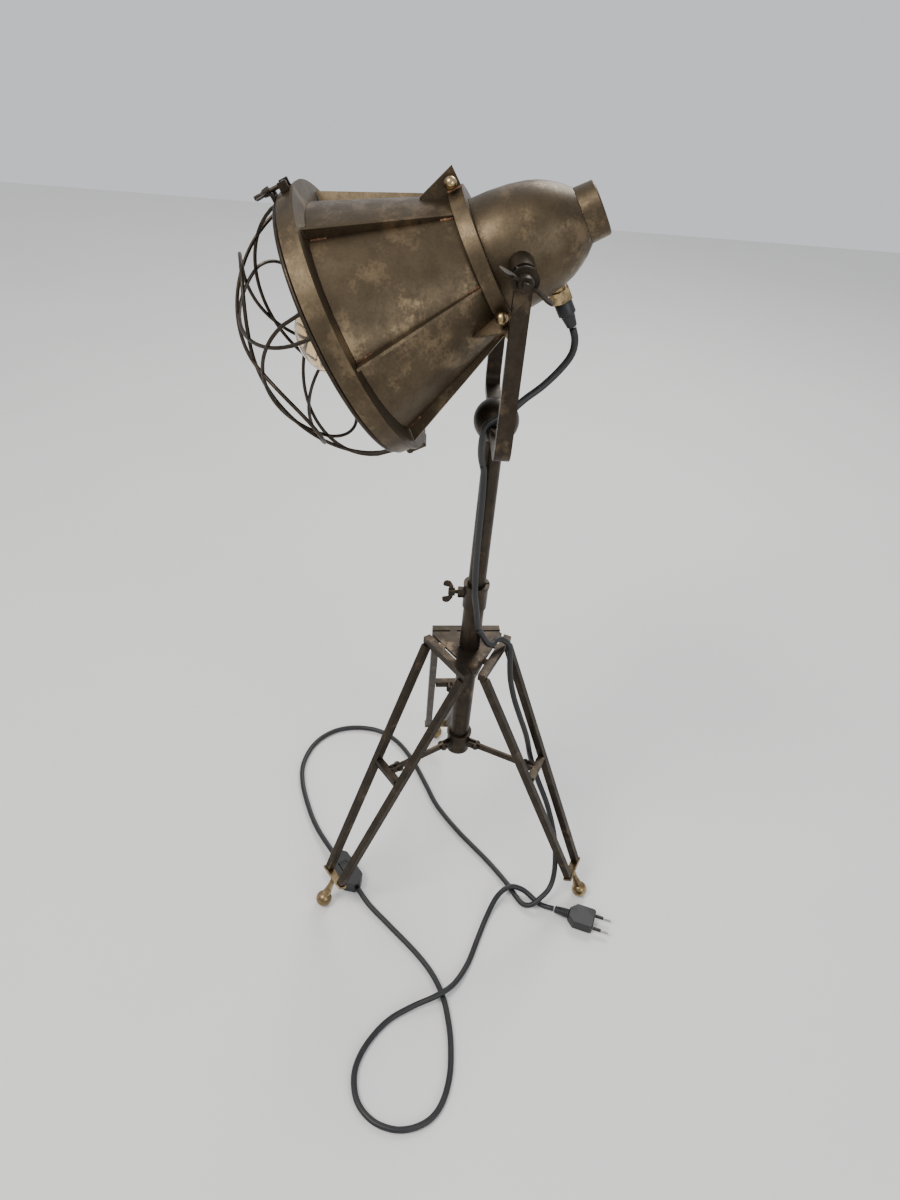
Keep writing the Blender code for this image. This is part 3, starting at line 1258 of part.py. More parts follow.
def centre_on_base(lamp):
    """Puts the lamp, measured without its cord, over the origin with its feet on the floor."""
    bpy.context.view_layer.update()
    loose = ("cord", "plug", "switch")
    corners = []
    for obj in PARTS.objects:
        if obj.type == "MESH" and not obj.name.startswith(loose):
            corners += [obj.matrix_world @ vertex.co for vertex in obj.data.vertices]
    middle = [(min(c[i] for c in corners) + max(c[i] for c in corners)) / 2 for i in (0, 1)]
    low = min(c.z for c in corners)
    lamp.location = (-middle[0], -middle[1], -low)
    bpy.context.view_layer.update()


clear_scene()
PARTS = collection("tripod_floor_lamp")
LAMP = frame("lamp", HERE, None)
build_stand(frame("stand", HERE, LAMP))
build_head(build_column(LAMP))
centre_on_base(LAMP)
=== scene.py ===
# %% [markdown]
# A tripod floor lamp
# This notebook dresses a lamp whose solid model is already finished. The solid model is loaded as a
# fixed frame of bodies and joints, and each visible piece is then made again with finer facets, softer
# edges and a finish of its own, at exactly the place the frame gives.

import json
import math

import bmesh
import bpy
from mathutils import Matrix, Vector


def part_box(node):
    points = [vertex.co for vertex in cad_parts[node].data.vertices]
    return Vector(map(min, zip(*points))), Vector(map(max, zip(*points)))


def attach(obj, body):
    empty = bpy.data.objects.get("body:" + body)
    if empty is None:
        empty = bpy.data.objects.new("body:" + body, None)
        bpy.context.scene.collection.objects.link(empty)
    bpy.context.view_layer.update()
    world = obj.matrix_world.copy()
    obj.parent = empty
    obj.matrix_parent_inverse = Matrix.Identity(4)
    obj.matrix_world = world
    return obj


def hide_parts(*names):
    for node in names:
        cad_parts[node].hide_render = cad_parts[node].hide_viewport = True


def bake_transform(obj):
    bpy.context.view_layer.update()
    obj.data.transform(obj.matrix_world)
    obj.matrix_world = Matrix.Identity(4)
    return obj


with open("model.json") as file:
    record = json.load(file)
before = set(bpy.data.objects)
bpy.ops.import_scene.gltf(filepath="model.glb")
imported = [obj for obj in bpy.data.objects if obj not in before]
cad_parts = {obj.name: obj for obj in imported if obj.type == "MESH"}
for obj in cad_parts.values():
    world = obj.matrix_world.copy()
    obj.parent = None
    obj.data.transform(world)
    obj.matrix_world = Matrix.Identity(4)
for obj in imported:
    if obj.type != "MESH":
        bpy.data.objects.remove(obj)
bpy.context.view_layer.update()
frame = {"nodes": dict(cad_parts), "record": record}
BODY_OF = {node: body for body, nodes in frame["record"]["behaviour"]["bodies"].items() for node in nodes}
SLOT_OF = {item["node"]: item["material_slot"] for item in frame["record"]["subparts"]}

# %% [markdown]
# The mast is the one upright line of the lamp, so everything is measured from it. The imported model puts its
# origin under the middle of the box instead, so the mast axis is read from the inner tube.

# %% The mast axis and small frame helpers
low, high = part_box("inner_tube")
MAST = Matrix.Translation(((low[0] + high[0]) / 2, (low[1] + high[1]) / 2, 0.0))
HERE = Matrix.Identity(4)


def shift(x=0.0, y=0.0, z=0.0):
    return Matrix.Translation((x, y, z))


def turn(axis, degrees):
    return Matrix.Rotation(math.radians(degrees), 4, axis)


def aim(start, direction):
    """A frame at start whose Z axis points along direction."""
    rotation = Vector(direction).to_track_quat("Z", "X").to_matrix().to_4x4()
    return Matrix.Translation(start) @ rotation


# Outline X becomes radial, outline Y becomes axial and the thickness becomes tangential.
UPRIGHT = turn("X", 90.0)
print("mast axis at", tuple(round(value, 4) for value in MAST.translation))

# %% [markdown]
# The camera looks down on the lamp from its right front, a little above the head. Three directions and a
# position say all of it: right, up and the way it looks.

# %% Camera
CAMERA_PLACE = Vector((0.7603, -0.0808, 0.9794))
CAMERA_RIGHT = Vector((0.0117, 0.9969, 0.0781)).normalized()
CAMERA_FORWARD = Vector((-0.7928, 0.0568, -0.6068)).normalized()
CAMERA_LENS = 27.06
SENSOR_HEIGHT = 36.0

camera_data = bpy.data.cameras.new("camera")
camera_data.sensor_fit = "VERTICAL"
camera_data.sensor_height = SENSOR_HEIGHT
camera_data.lens = CAMERA_LENS
camera_data.clip_start = 0.01
camera = bpy.data.objects.new("camera", camera_data)
bpy.context.scene.collection.objects.link(camera)
camera_up = CAMERA_RIGHT.cross(CAMERA_FORWARD).normalized()
rotation = Matrix((CAMERA_RIGHT, camera_up, -CAMERA_FORWARD)).transposed().to_4x4()
camera.matrix_world = MAST @ Matrix.Translation(CAMERA_PLACE) @ rotation
bpy.context.scene.camera = camera
print("camera height", round(camera.matrix_world.translation.z, 3), "m")

# %% [markdown]
# Shader maths reads best as plain expressions. This small class wraps a socket, so that sums and products
# of values become Math nodes, and one method makes any other node.

# %% Shader expressions
NOISE_ROUGHNESS = 0.55


class Value:
    """A number that a node gives out, which can be used in Python sums."""

    def __init__(self, finish, socket):
        self.finish = finish
        self.socket = socket

    def maths(self, operation, first, second=0.0):
        return self.finish.node("ShaderNodeMath", {"operation": operation}, {0: first, 1: second})

    def __add__(self, other):
        return self.maths("ADD", self, other)

    def __radd__(self, other):
        return self.maths("ADD", other, self)

    def __sub__(self, other):
        return self.maths("SUBTRACT", self, other)

    def __rsub__(self, other):
        return self.maths("SUBTRACT", other, self)

    def __mul__(self, other):
        return self.maths("MULTIPLY", self, other)

    def __rmul__(self, other):
        return self.maths("MULTIPLY", other, self)


class Finish:
    """One material and its nodes."""

    def __init__(self, name):
        self.material = bpy.data.materials.new(name)
        self.material.use_nodes = True
        self.tree = self.material.node_tree
        self.shader = self.tree.nodes["Principled BSDF"]
        self.places = self.node("ShaderNodeTexCoord", {}, {}, "Object")

    def node(self, kind, settings, inputs, output=0):
        made = self.tree.nodes.new(kind)
        for key, value in settings.items():
            setattr(made, key, value)
        for key, value in inputs.items():
            self.feed(made.inputs[key], value)
        return Value(self, made.outputs[output])

    def feed(self, socket, value):
        if isinstance(value, Value):
            self.tree.links.new(value.socket, socket)
        else:
            socket.default_value = value

    def noise(self, scale, detail, stretch=(1.0, 1.0, 1.0)):
        placed = self.node("ShaderNodeMapping", {}, {"Vector": self.places, "Scale": stretch})
        inputs = {"Vector": placed, "Scale": scale, "Detail": detail, "Roughness": NOISE_ROUGHNESS}
        return self.node("ShaderNodeTexNoise", {}, inputs)

    def between(self, value, low, high):
        """0 below low, 1 above high and smooth between."""
        settings = {"interpolation_type": "SMOOTHSTEP"}
        inputs = {"Value": value, "From Min": low, "From Max": high, "To Min": 0.0, "To Max": 1.0}
        return self.node("ShaderNodeMapRange", settings, inputs)

    def mixed(self, share, first, second):
        """Two colours mixed by a share."""
        made = self.tree.nodes.new("ShaderNodeMix")
        made.data_type = "RGBA"
        self.feed(made.inputs[0], share)
        self.feed(made.inputs[6], first)
        self.feed(made.inputs[7], second)
        return Value(self, made.outputs[2])

    def bump(self, height, strength, distance):
        inputs = {"Height": height, "Strength": strength, "Distance": distance}
        return self.node("ShaderNodeBump", {}, inputs)

    def shade(self, **inputs):
        for key, value in inputs.items():
            self.feed(self.shader.inputs[key.replace("_", " ")], value)
        return self.material


print("shader expressions ready")

# %% [markdown]
# The metal is finished as aged brass: a thin brown lacquer over plate, mottled where it was wiped, finely
# brushed, and rubbed to a warmer tone in patches. Two coarse noise scales give the mottling and the patches,
# and two finer ones give the brushing, the specks and the bump. The tripod has the same finish left almost
# black.

# %% Metal finishes
def patina(name, deep, middle, worn, roughness, wear, metallic, scale):
    """Lacquered metal in three tones: deep in the mottling, middle all over, worn in patches."""
    finish = Finish(name)
    clouds = finish.noise(scale, 6.0)
    patches = finish.noise(scale * 0.42, 3.0)
    grain = finish.noise(900.0, 2.0, (1.0, 1.0, 0.25))
    specks = finish.noise(420.0, 5.0)
    mottle = finish.between(clouds * 0.65 + specks * 0.35, 0.30, 0.68)
    rubbed = finish.between(patches * 0.6 + clouds * 0.25 + specks * 0.15, 1.0 - wear, 1.12 - wear)
    tone = finish.mixed(mottle, (*deep, 1.0), (*middle, 1.0))
    colour = finish.mixed(rubbed, tone, (*worn, 1.0))
    gloss = roughness + (grain - 0.5) * 0.16 + (1.0 - mottle) * 0.08 - rubbed * 0.07
    relief = finish.bump(grain * 0.6 + specks * 0.4, 0.10, 0.0004)
    return finish.shade(Base_Color=colour, Roughness=gloss, Metallic=metallic, Normal=relief)


print("metal finishes ready")

# %% [markdown]
# The lead, the plug and the switch are black. Moulded plastic has a fine grain and a soft sheen, and the
# lead is duller, with dust that greys it a little. The bulb is clear glass tinted amber all through.

# %% Rubber, plastic and glass
def moulded(name, colour, dusty, roughness, scale):
    finish = Finish(name)
    grain = finish.noise(scale, 3.0)
    dust = finish.between(finish.noise(45.0, 5.0), 0.48, 0.75)
    tone = finish.mixed(dust * 0.6, (*colour, 1.0), (*dusty, 1.0))
    relief = finish.bump(grain, 0.12, 0.0003)
    gloss = roughness + dust * 0.12 + (grain - 0.5) * 0.1
    return finish.shade(Base_Color=tone, Roughness=gloss, Normal=relief)


def tinted_glass(name, colour):
    finish = Finish(name)
    haze = finish.between(finish.noise(30.0, 3.0), 0.4, 0.8)
    finish.shader.inputs["Transmission Weight"].default_value = 1.0
    finish.shader.inputs["IOR"].default_value = 1.45
    finish.shader.inputs["Base Color"].default_value = (*colour, 1.0)
    return finish.shade(Roughness=0.02 + haze * 0.04)


print("rubber, plastic and glass ready")

# %% The finishes by name
RECIPES = {
    # patina: deep, middle and worn colours, roughness, wear, metallic, scale
    "aged_bronze": (patina, (0.062, 0.045, 0.027), (0.096, 0.071, 0.042), (0.165, 0.118, 0.068),
                    0.42, 0.49, 0.88, 62.0),
    "dark_bronze": (patina, (0.026, 0.020, 0.014), (0.046, 0.035, 0.024), (0.090, 0.064, 0.040),
                    0.40, 0.45, 0.85, 90.0),
    "brass": (patina, (0.130, 0.092, 0.048), (0.230, 0.165, 0.085), (0.420, 0.310, 0.165),
              0.32, 0.50, 1.0, 120.0),
    "steel": (patina, (0.330, 0.310, 0.290), (0.520, 0.500, 0.470), (0.660, 0.640, 0.610),
              0.28, 0.50, 1.0, 34.0),
    "weld_scale": (patina, (0.050, 0.022, 0.012), (0.120, 0.050, 0.024), (0.260, 0.130, 0.060),
                   0.60, 0.52, 0.45, 160.0),
    "filament_metal": (patina, (0.300, 0.170, 0.060), (0.520, 0.300, 0.110), (0.700, 0.440, 0.180),
                       0.35, 0.50, 1.0, 300.0),
    # moulded: colour, dusty colour, roughness, scale
    "black_rubber": (moulded, (0.006, 0.006, 0.007), (0.018, 0.017, 0.016), 0.46, 1500.0),
    "black_plastic": (moulded, (0.007, 0.007, 0.008), (0.016, 0.016, 0.015), 0.36, 1100.0),
    "amber_glass": (tinted_glass, (0.96, 0.80, 0.56)),
}
FINISHES = {}


def finish_of(name):
    """The finish of that name, made the first time it is asked for."""
    if name not in FINISHES:
        make, *settings = RECIPES[name]
        FINISHES[name] = make(name, *settings)
    return FINISHES[name]


print("finishes", ", ".join(RECIPES))

# %% [markdown]
# Turned parts are drawn as half an outline and spun, flat parts as an outline with a thickness, and wires and
# leads as a line with a radius. Booleans join and bore them, as a workshop welds and drills. A fine bevel on
# the bent and sawn parts catches the light along their edges.

# %% Shape helpers
ROUND = 96
SMALL_ROUND = 40
SHELL_ROUND = 160
BALL_RINGS = 14
CORNER_STEPS = 12


def baked(obj):
    """The object's evaluated shape as a closed mesh with its faces pointing out."""
    evaluated = obj.evaluated_get(bpy.context.evaluated_depsgraph_get())
    mesh = bpy.data.meshes.new_from_object(evaluated)
    bpy.data.objects.remove(obj, do_unlink=True)
    shape = bmesh.new()
    shape.from_mesh(mesh)
    bmesh.ops.remove_doubles(shape, verts=shape.verts, dist=1e-6)
    bmesh.ops.recalc_face_normals(shape, faces=shape.faces)
    shape.to_mesh(mesh)
    shape.free()
    return mesh


def temporary(name, data):
    obj = bpy.data.objects.new(name, data)
    bpy.context.scene.collection.objects.link(obj)
    return obj


def from_bmesh(shape):
    mesh = bpy.data.meshes.new("shape")
    shape.to_mesh(mesh)
    shape.free()
    return mesh


def turned(profile, sides=ROUND):
    """A solid of revolution about Z from (radius, height) pairs that run down the outer side."""
    mesh = bpy.data.meshes.new("profile")
    points = [(radius, 0.0, height) for radius, height in profile]
    closed = profile[0][0] > 0.0 and profile[-1][0] > 0.0
    edges = [(i, i + 1) for i in range(len(points) - 1) if profile[i][0] > 0.0 or profile[i + 1][0] > 0.0]
    if closed:
        edges.append((len(points) - 1, 0))
    mesh.from_pydata(points, edges, [])
    obj = temporary("turned", mesh)
    screw = obj.modifiers.new("screw", "SCREW")
    screw.steps = sides
    screw.render_steps = sides
    screw.use_merge_vertices = True
    screw.merge_threshold = 1e-5
    return baked(obj)


def cylinder(length, radius, sides=SMALL_ROUND):
    """A round bar from the origin up +Z."""
    shape = bmesh.new()
    bmesh.ops.create_cone(
        shape, cap_ends=True, segments=sides, radius1=radius, radius2=radius, depth=length,
        matrix=shift(z=length / 2),
    )
    return from_bmesh(shape)


def box(size_x, size_y, size_z):
    """A box centred on the origin."""
    shape = bmesh.new()
    bmesh.ops.create_cube(shape, size=1.0, matrix=Matrix.Diagonal((size_x, size_y, size_z, 1.0)))
    return from_bmesh(shape)


def ball(radius, rings):
    shape = bmesh.new()
    bmesh.ops.create_uvsphere(shape, u_segments=2 * rings, v_segments=rings, radius=radius)
    return from_bmesh(shape)


def plate(outline, thickness):
    """A flat plate in the XY plane, centred on it, from its outline's (x, y) points."""
    curve = bpy.data.curves.new("outline", "CURVE")
    curve.dimensions = "2D"
    curve.fill_mode = "BOTH"
    curve.extrude = thickness / 2
    spline = curve.splines.new("POLY")
    spline.points.add(len(outline) - 1)
    for point, (x, y) in zip(spline.points, outline):
        point.co = (x, y, 0.0, 1.0)
    spline.use_cyclic_u = True
    return baked(temporary("plate", curve))


def line_of(points):
    """A poly curve's data through the points."""
    curve = bpy.data.curves.new("line", "CURVE")
    curve.dimensions = "3D"
    spline = curve.splines.new("POLY")
    spline.points.add(len(points) - 1)
    for point, place in zip(spline.points, points):
        point.co = (*place, 1.0)
    return curve


def tube(points, radius, roundness=2):
    """A round wire through the points, with closed ends."""
    curve = line_of(points)
    curve.bevel_depth = radius
    curve.bevel_resolution = roundness
    curve.use_fill_caps = True
    curve.twist_mode = "MINIMUM"
    return baked(temporary("wire", curve))


def combined(mesh, other, place, operation):
    """mesh with other, set at place, cut away or joined on."""
    body = temporary("body", mesh)
    tool = temporary("tool", other)
    tool.matrix_world = place
    modifier = body.modifiers.new("boolean", "BOOLEAN")
    modifier.object = tool
    modifier.operation = operation
    modifier.solver = "EXACT"
    bpy.context.view_layer.update()
    result = baked(body)
    bpy.data.objects.remove(tool, do_unlink=True)
    return result


def cut(mesh, other, place=Matrix.Identity(4)):
    return combined(mesh, other, place, "DIFFERENCE")


def joined(mesh, other, place=Matrix.Identity(4)):
    return combined(mesh, other, place, "UNION")


def welded(pieces):
    """One solid from (mesh, place) pairs that run into each other."""
    body, place = pieces[0]
    body.transform(place)
    for mesh, place in pieces[1:]:
        body = joined(body, mesh, place)
    return body


def arc(centre, radius, start, end, steps):
    """Points of a round corner in a plane, angles in degrees."""
    angles = [math.radians(start + (end - start) * i / steps) for i in range(steps + 1)]
    return [(centre[0] + radius * math.cos(a), centre[1] + radius * math.sin(a)) for a in angles]


def smooth_path(points, spacing):
    """Evenly spaced points on a smooth curve through the given ones."""
    ends = [points[0] * 2 - points[1], *points, points[-1] * 2 - points[-2]]
    dense = []
    for before, start, end, after in zip(ends, ends[1:], ends[2:], ends[3:]):
        for step in range(24):
            t = step / 24
            dense.append(0.5 * (
                2 * start + (end - before) * t + (2 * before - 5 * start + 4 * end - after) * t**2
                + (3 * start - before - 3 * end + after) * t**3
            ))
    dense.append(points[-1])
    lengths = [0.0]
    for start, end in zip(dense, dense[1:]):
        lengths.append(lengths[-1] + (end - start).length)
    count = max(2, round(lengths[-1] / spacing))
    path, index = [], 0
    for step in range(count + 1):
        target = lengths[-1] * step / count
        while index < len(dense) - 2 and lengths[index + 1] < target:
            index += 1
        share = (target - lengths[index]) / (lengths[index + 1] - lengths[index])
        path.append(dense[index].lerp(dense[index + 1], share))
    return path


print("shape helpers ready")

# %% [markdown]
# Every finished piece goes the same way: its place is put into its mesh, it takes a finish, it stands for
# the plain solid of the same name, and it rides on that solid's body, so that it moves with the joints.

# %% Finishing a piece
SOFTENED = {
    "yoke": 0.0009, "top_plate": 0.0006, "switch_body": 0.0022, "plug": 0.0016,
    "switch_rocker": 0.0004, "gland_nut": 0.0005,
}
SOFTENED.update({f"leg_{index}_{bar}": 0.0007 for index in (1, 2, 3) for bar in ("left_tube", "right_tube")})
SHARP = math.radians(38.0)


def set_down(name, mesh, finish, body, stands_for=()):
    """A piece at the origin with its place in its mesh, riding on a body."""
    mesh.name = name
    mesh.materials.clear()
    mesh.materials.append(finish)
    mesh.shade_smooth()
    mesh.set_sharp_from_angle(angle=SHARP)
    piece = bpy.data.objects.new(name, mesh)
    bpy.context.scene.collection.objects.link(piece)
    if stands_for:
        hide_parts(*stands_for)
    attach(piece, body)
    return piece


def part(name, mesh, place, finish, parent):
    """The finer piece that stands for one solid."""
    mesh.transform(parent @ place)
    piece = set_down(f"{name}_piece", mesh, finish, BODY_OF[name], [name])
    width = SOFTENED.get(name, 0.0)
    if width > 0.0:
        bevel = piece.modifiers.new("softened edges", "BEVEL")
        bevel.width = width
        bevel.segments = 3
        bevel.limit_method = "ANGLE"
        bevel.angle_limit = SHARP
        bevel.harden_normals = True


print("pieces can be set down")

# %% [markdown]
# Repeated and path-following shapes come from Geometry Nodes: the guard's looped wires, the weld beads,
# the screw threads and the ribs of the plug's sleeve. Each tree has named inputs, and its result is turned
# into a plain mesh before it rides on a body.

# %% Geometry Nodes helpers
class Tree:
    """A Geometry Nodes tree with named inputs."""

    def __init__(self, name):
        self.tree = bpy.data.node_groups.new(name, "GeometryNodeTree")
        self.tree.interface.new_socket("Geometry", in_out="INPUT", socket_type="NodeSocketGeometry")
        self.tree.interface.new_socket("Geometry", in_out="OUTPUT", socket_type="NodeSocketGeometry")
        self.entry = self.tree.nodes.new("NodeGroupInput")
        self.exit = self.tree.nodes.new("NodeGroupOutput")
        self.names = {}

    def takes(self, name, kind, default):
        socket = self.tree.interface.new_socket(name, in_out="INPUT", socket_type=kind)
        if default is not None:
            socket.default_value = default
        self.names[name] = socket.identifier
        return self.entry.outputs[name]

    def node(self, kind, settings, inputs, output=0):
        made = self.tree.nodes.new(kind)
        for key, value in settings.items():
            setattr(made, key, value)
        for key, value in inputs.items():
            if isinstance(value, bpy.types.NodeSocket):
                self.tree.links.new(value, made.inputs[key])
            else:
                made.inputs[key].default_value = value
        return made.outputs[output]

    def around(self, piece, count, turned_by):
        """The piece copied evenly round Z."""
        points = self.node("GeometryNodePoints", {}, {"Count": count})
        index = self.node("GeometryNodeInputIndex", {}, {})
        step = self.node("ShaderNodeMath", {"operation": "DIVIDE"}, {0: 2 * math.pi, 1: count})
        settings = {"operation": "MULTIPLY_ADD"}
        angle = self.node("ShaderNodeMath", settings, {0: index, 1: step, 2: turned_by})
        spun = self.node("ShaderNodeCombineXYZ", {}, {"Z": angle})
        inputs = {"Points": points, "Instance": piece, "Rotation": spun}
        return self.node("GeometryNodeInstanceOnPoints", {}, inputs)

    def ends(self, geometry):
        """Instances made real, the finish set, and out."""
        finish = self.takes("Finish", "NodeSocketMaterial", None)
        real = self.node("GeometryNodeRealizeInstances", {}, {"Geometry": geometry})
        done = self.node("GeometryNodeSetMaterial", {}, {"Geometry": real, "Material": finish})
        self.tree.links.new(done, self.exit.inputs["Geometry"])

    def run(self, name, data, place, finish, body, stands_for=(), **sizes):
        """The tree's result on data as a plain piece."""
        holder = temporary(name + "_source", data)
        modifier = holder.modifiers.new(name, "NODES")
        modifier.node_group = self.tree
        for key, value in sizes.items():
            modifier[self.names[key.replace("_", " ")]] = value
        modifier[self.names["Finish"]] = finish
        mesh = bpy.data.meshes.new_from_object(holder.evaluated_get(bpy.context.evaluated_depsgraph_get()))
        bpy.data.objects.remove(holder, do_unlink=True)
        mesh.transform(place)
        set_down(name, mesh, finish, body, stands_for)
        print(name, len(mesh.polygons), "faces")


print("Geometry Nodes helpers ready")

# %% Tree: a wire turned into several around an axis
def wires_around():
    """The line, copied round Z, each copy a round wire, with their ring."""
    made = Tree("wires_around")
    count = made.takes("Count", "NodeSocketInt", 5)
    turned_by = made.takes("Turn", "NodeSocketFloat", 0.0)
    wire = made.takes("Wire", "NodeSocketFloat", 0.002)
    ring = made.takes("Ring", "NodeSocketFloat", 0.1)
    ring_wire = made.takes("Ring wire", "NodeSocketFloat", 0.002)
    ring_height = made.takes("Ring height", "NodeSocketFloat", 0.0)
    round_wire = made.node("GeometryNodeCurvePrimitiveCircle", {}, {"Resolution": 12, "Radius": wire})
    swept = made.node("GeometryNodeCurveToMesh", {}, {
        "Curve": made.entry.outputs["Geometry"], "Profile Curve": round_wire, "Fill Caps": True})
    copies = made.around(swept, count, turned_by)
    circle = made.node("GeometryNodeCurvePrimitiveCircle", {}, {"Resolution": 180, "Radius": ring})
    ring_round = made.node("GeometryNodeCurvePrimitiveCircle", {}, {"Resolution": 14, "Radius": ring_wire})
    band = made.node("GeometryNodeCurveToMesh", {}, {"Curve": circle, "Profile Curve": ring_round})
    lift = made.node("ShaderNodeCombineXYZ", {}, {"Z": ring_height})
    band = made.node("GeometryNodeTransform", {}, {"Geometry": band, "Translation": lift})
    both = made.tree.nodes.new("GeometryNodeJoinGeometry")
    made.tree.links.new(copies, both.inputs[0])
    made.tree.links.new(band, both.inputs[0])
    made.ends(both.outputs[0])
    return made


WIRES = wires_around()
print("inputs", list(WIRES.names))

# %% Tree: weld beads along a line
def bead_line():
    """A row of overlapping beads along a line, copied round Z."""
    made = Tree("bead_line")
    count = made.takes("Count", "NodeSocketInt", 6)
    turned_by = made.takes("Turn", "NodeSocketFloat", 0.0)
    size = made.takes("Bead", "NodeSocketFloat", 0.0012)
    pitch = made.takes("Pitch", "NodeSocketFloat", 0.0012)
    spread = made.node("GeometryNodeCurveToPoints", {"mode": "LENGTH"}, {
        "Curve": made.entry.outputs["Geometry"], "Length": pitch})
    bead = made.node("GeometryNodeMeshIcoSphere", {}, {"Radius": size, "Subdivisions": 2})
    uneven = made.node("FunctionNodeRandomValue", {"data_type": "FLOAT"}, {2: 0.75, 3: 1.15, "Seed": 7}, 1)
    row = made.node("GeometryNodeInstanceOnPoints", {}, {"Points": spread, "Instance": bead, "Scale": uneven})
    row = made.node("GeometryNodeRealizeInstances", {}, {"Geometry": row})
    copies = made.around(row, count, turned_by)
    made.ends(copies)
    return made


BEADS = bead_line()
print("inputs", list(BEADS.names))

# %% Tree: rings along a line, for threads and sleeve ribs
def ring_row():
    """Rings set square across Z, one pitch apart, growing or shrinking evenly along the row."""
    made = Tree("ring_row")
    count = made.takes("Count", "NodeSocketInt", 8)
    pitch = made.takes("Pitch", "NodeSocketFloat", 0.001)
    radius = made.takes("Radius", "NodeSocketFloat", 0.003)
    ridge = made.takes("Ridge", "NodeSocketFloat", 0.0003)
    end_scale = made.takes("End scale", "NodeSocketFloat", 1.0)
    circle = made.node("GeometryNodeCurvePrimitiveCircle", {}, {"Resolution": 32, "Radius": radius})
    section = made.node("GeometryNodeCurvePrimitiveCircle", {}, {"Resolution": 6, "Radius": ridge})
    ring = made.node("GeometryNodeCurveToMesh", {}, {"Curve": circle, "Profile Curve": section})
    step = made.node("ShaderNodeCombineXYZ", {}, {"Z": pitch})
    row = made.node("GeometryNodeMeshLine", {}, {"Count": count, "Offset": step})
    index = made.node("GeometryNodeInputIndex", {}, {})
    share = made.node("ShaderNodeMath", {"operation": "DIVIDE"}, {0: index, 1: count})
    change = made.node("ShaderNodeMath", {"operation": "SUBTRACT"}, {0: end_scale, 1: 1.0})
    scale = made.node("ShaderNodeMath", {"operation": "MULTIPLY_ADD"}, {0: share, 1: change, 2: 1.0})
    sizes = made.node("ShaderNodeCombineXYZ", {}, {"X": scale, "Y": scale, "Z": 1.0})
    rings = made.node("GeometryNodeInstanceOnPoints", {}, {"Points": row, "Instance": ring, "Scale": sizes})
    made.ends(rings)
    return made


RINGS = ring_row()


def rings(name, place, finish, body, **sizes):
    """A row of rings up +Z from place. The tree draws them from its sizes alone, so its line is a stub."""
    stub = line_of([Vector(), Vector((0.0, 0.0, 0.001))])
    RINGS.run(name, stub, place, finish, body, **sizes)


print("inputs", list(RINGS.names))

# %% [markdown]
# The lead leaves the gland under the head, comes down beside the swivel and the mast, crosses the top plate
# and one leg, and runs over the floor to the switch and the plug. It is one length of round cable, about 2.3
# metres in all. Where it crosses a joint it is a piece of its own.

# %% The lead's route
CORD_RADIUS = 0.0033
CORD_SPACING = 0.0040
CORD_HEAD = (
    (0.0000, 0.0563, 0.7007), (0.0000, 0.0600, 0.6900), (0.0010, 0.0590, 0.6770),
    (0.0040, 0.0500, 0.6630), (0.0110, 0.0360, 0.6500), (0.0185, 0.0205, 0.6395),
    (0.0244, 0.0085, 0.6290),
)
CORD_SWIVEL = (
    (0.0254, 0.0062, 0.6268), (0.0263, -0.0040, 0.6212), (0.0263, -0.0108, 0.6160),
    (0.0256, -0.0128, 0.6080), (0.0235, -0.0132, 0.5960), (0.0190, -0.0122, 0.5830),
    (0.0157, -0.0102, 0.5730),
)
CORD_MAST = (
    (0.0149, -0.0094, 0.5700), (0.0129, -0.0072, 0.5600), (0.0122, -0.0058, 0.5300),
    (0.0124, -0.0050, 0.4800), (0.0140, -0.0040, 0.4450), (0.0180, -0.0025, 0.4200),
    (0.0172, 0.0010, 0.4000), (0.0154, 0.0050, 0.3745),
)
CORD_LEG = (
    (0.0150, 0.0064, 0.3715), (0.0137, 0.0120, 0.3610), (0.0115, 0.0180, 0.3500),
    (0.0080, 0.0235, 0.3450), (0.0025, 0.0275, 0.3460), (-0.0015, 0.0325, 0.3465),
    (-0.0032, 0.0380, 0.3430), (-0.0030, 0.0425, 0.3395), (-0.0010, 0.0455, 0.3340),
    (0.0010, 0.0465, 0.3260), (0.0050, 0.0475, 0.3130), (0.0090, 0.0500, 0.2960),
    (0.0160, 0.0560, 0.2750), (0.0210, 0.0650, 0.2520), (0.0225, 0.0765, 0.2218),
    (0.0230, 0.0860, 0.1870), (0.0300, 0.0970, 0.1590), (0.0439, 0.1135, 0.1245),
    (0.0589, 0.1255, 0.0885), (0.0699, 0.1305, 0.0565), (0.0789, 0.1310, 0.0334),
    (0.0890, 0.1260, 0.0215), (0.0980, 0.1160, 0.0160), (0.1035, 0.1045, 0.0075),
    (0.1000, 0.0940, 0.0036), (0.0880, 0.0855, 0.0036),
)
CORD_FLOOR = (
    (0.0860, 0.0844, 0.0036), (0.0700, 0.0755, 0.0036), (0.0370, 0.0520, 0.0036),
    (-0.0070, 0.0160, 0.0036), (-0.0480, -0.0120, 0.0036), (-0.0820, -0.0270, 0.0036),
    (-0.1170, -0.0420, 0.0036), (-0.1490, -0.0590, 0.0036), (-0.1720, -0.0780, 0.0036),
    (-0.1870, -0.1030, 0.0036), (-0.1900, -0.1360, 0.0036), (-0.1800, -0.1660, 0.0036),
    (-0.1550, -0.1900, 0.0036), (-0.1180, -0.2020, 0.0036), (-0.0820, -0.2000, 0.0036),
    (-0.0390, -0.1870, 0.0036), (-0.0020, -0.1710, 0.0048), (0.0385, -0.1464, 0.0080),
)
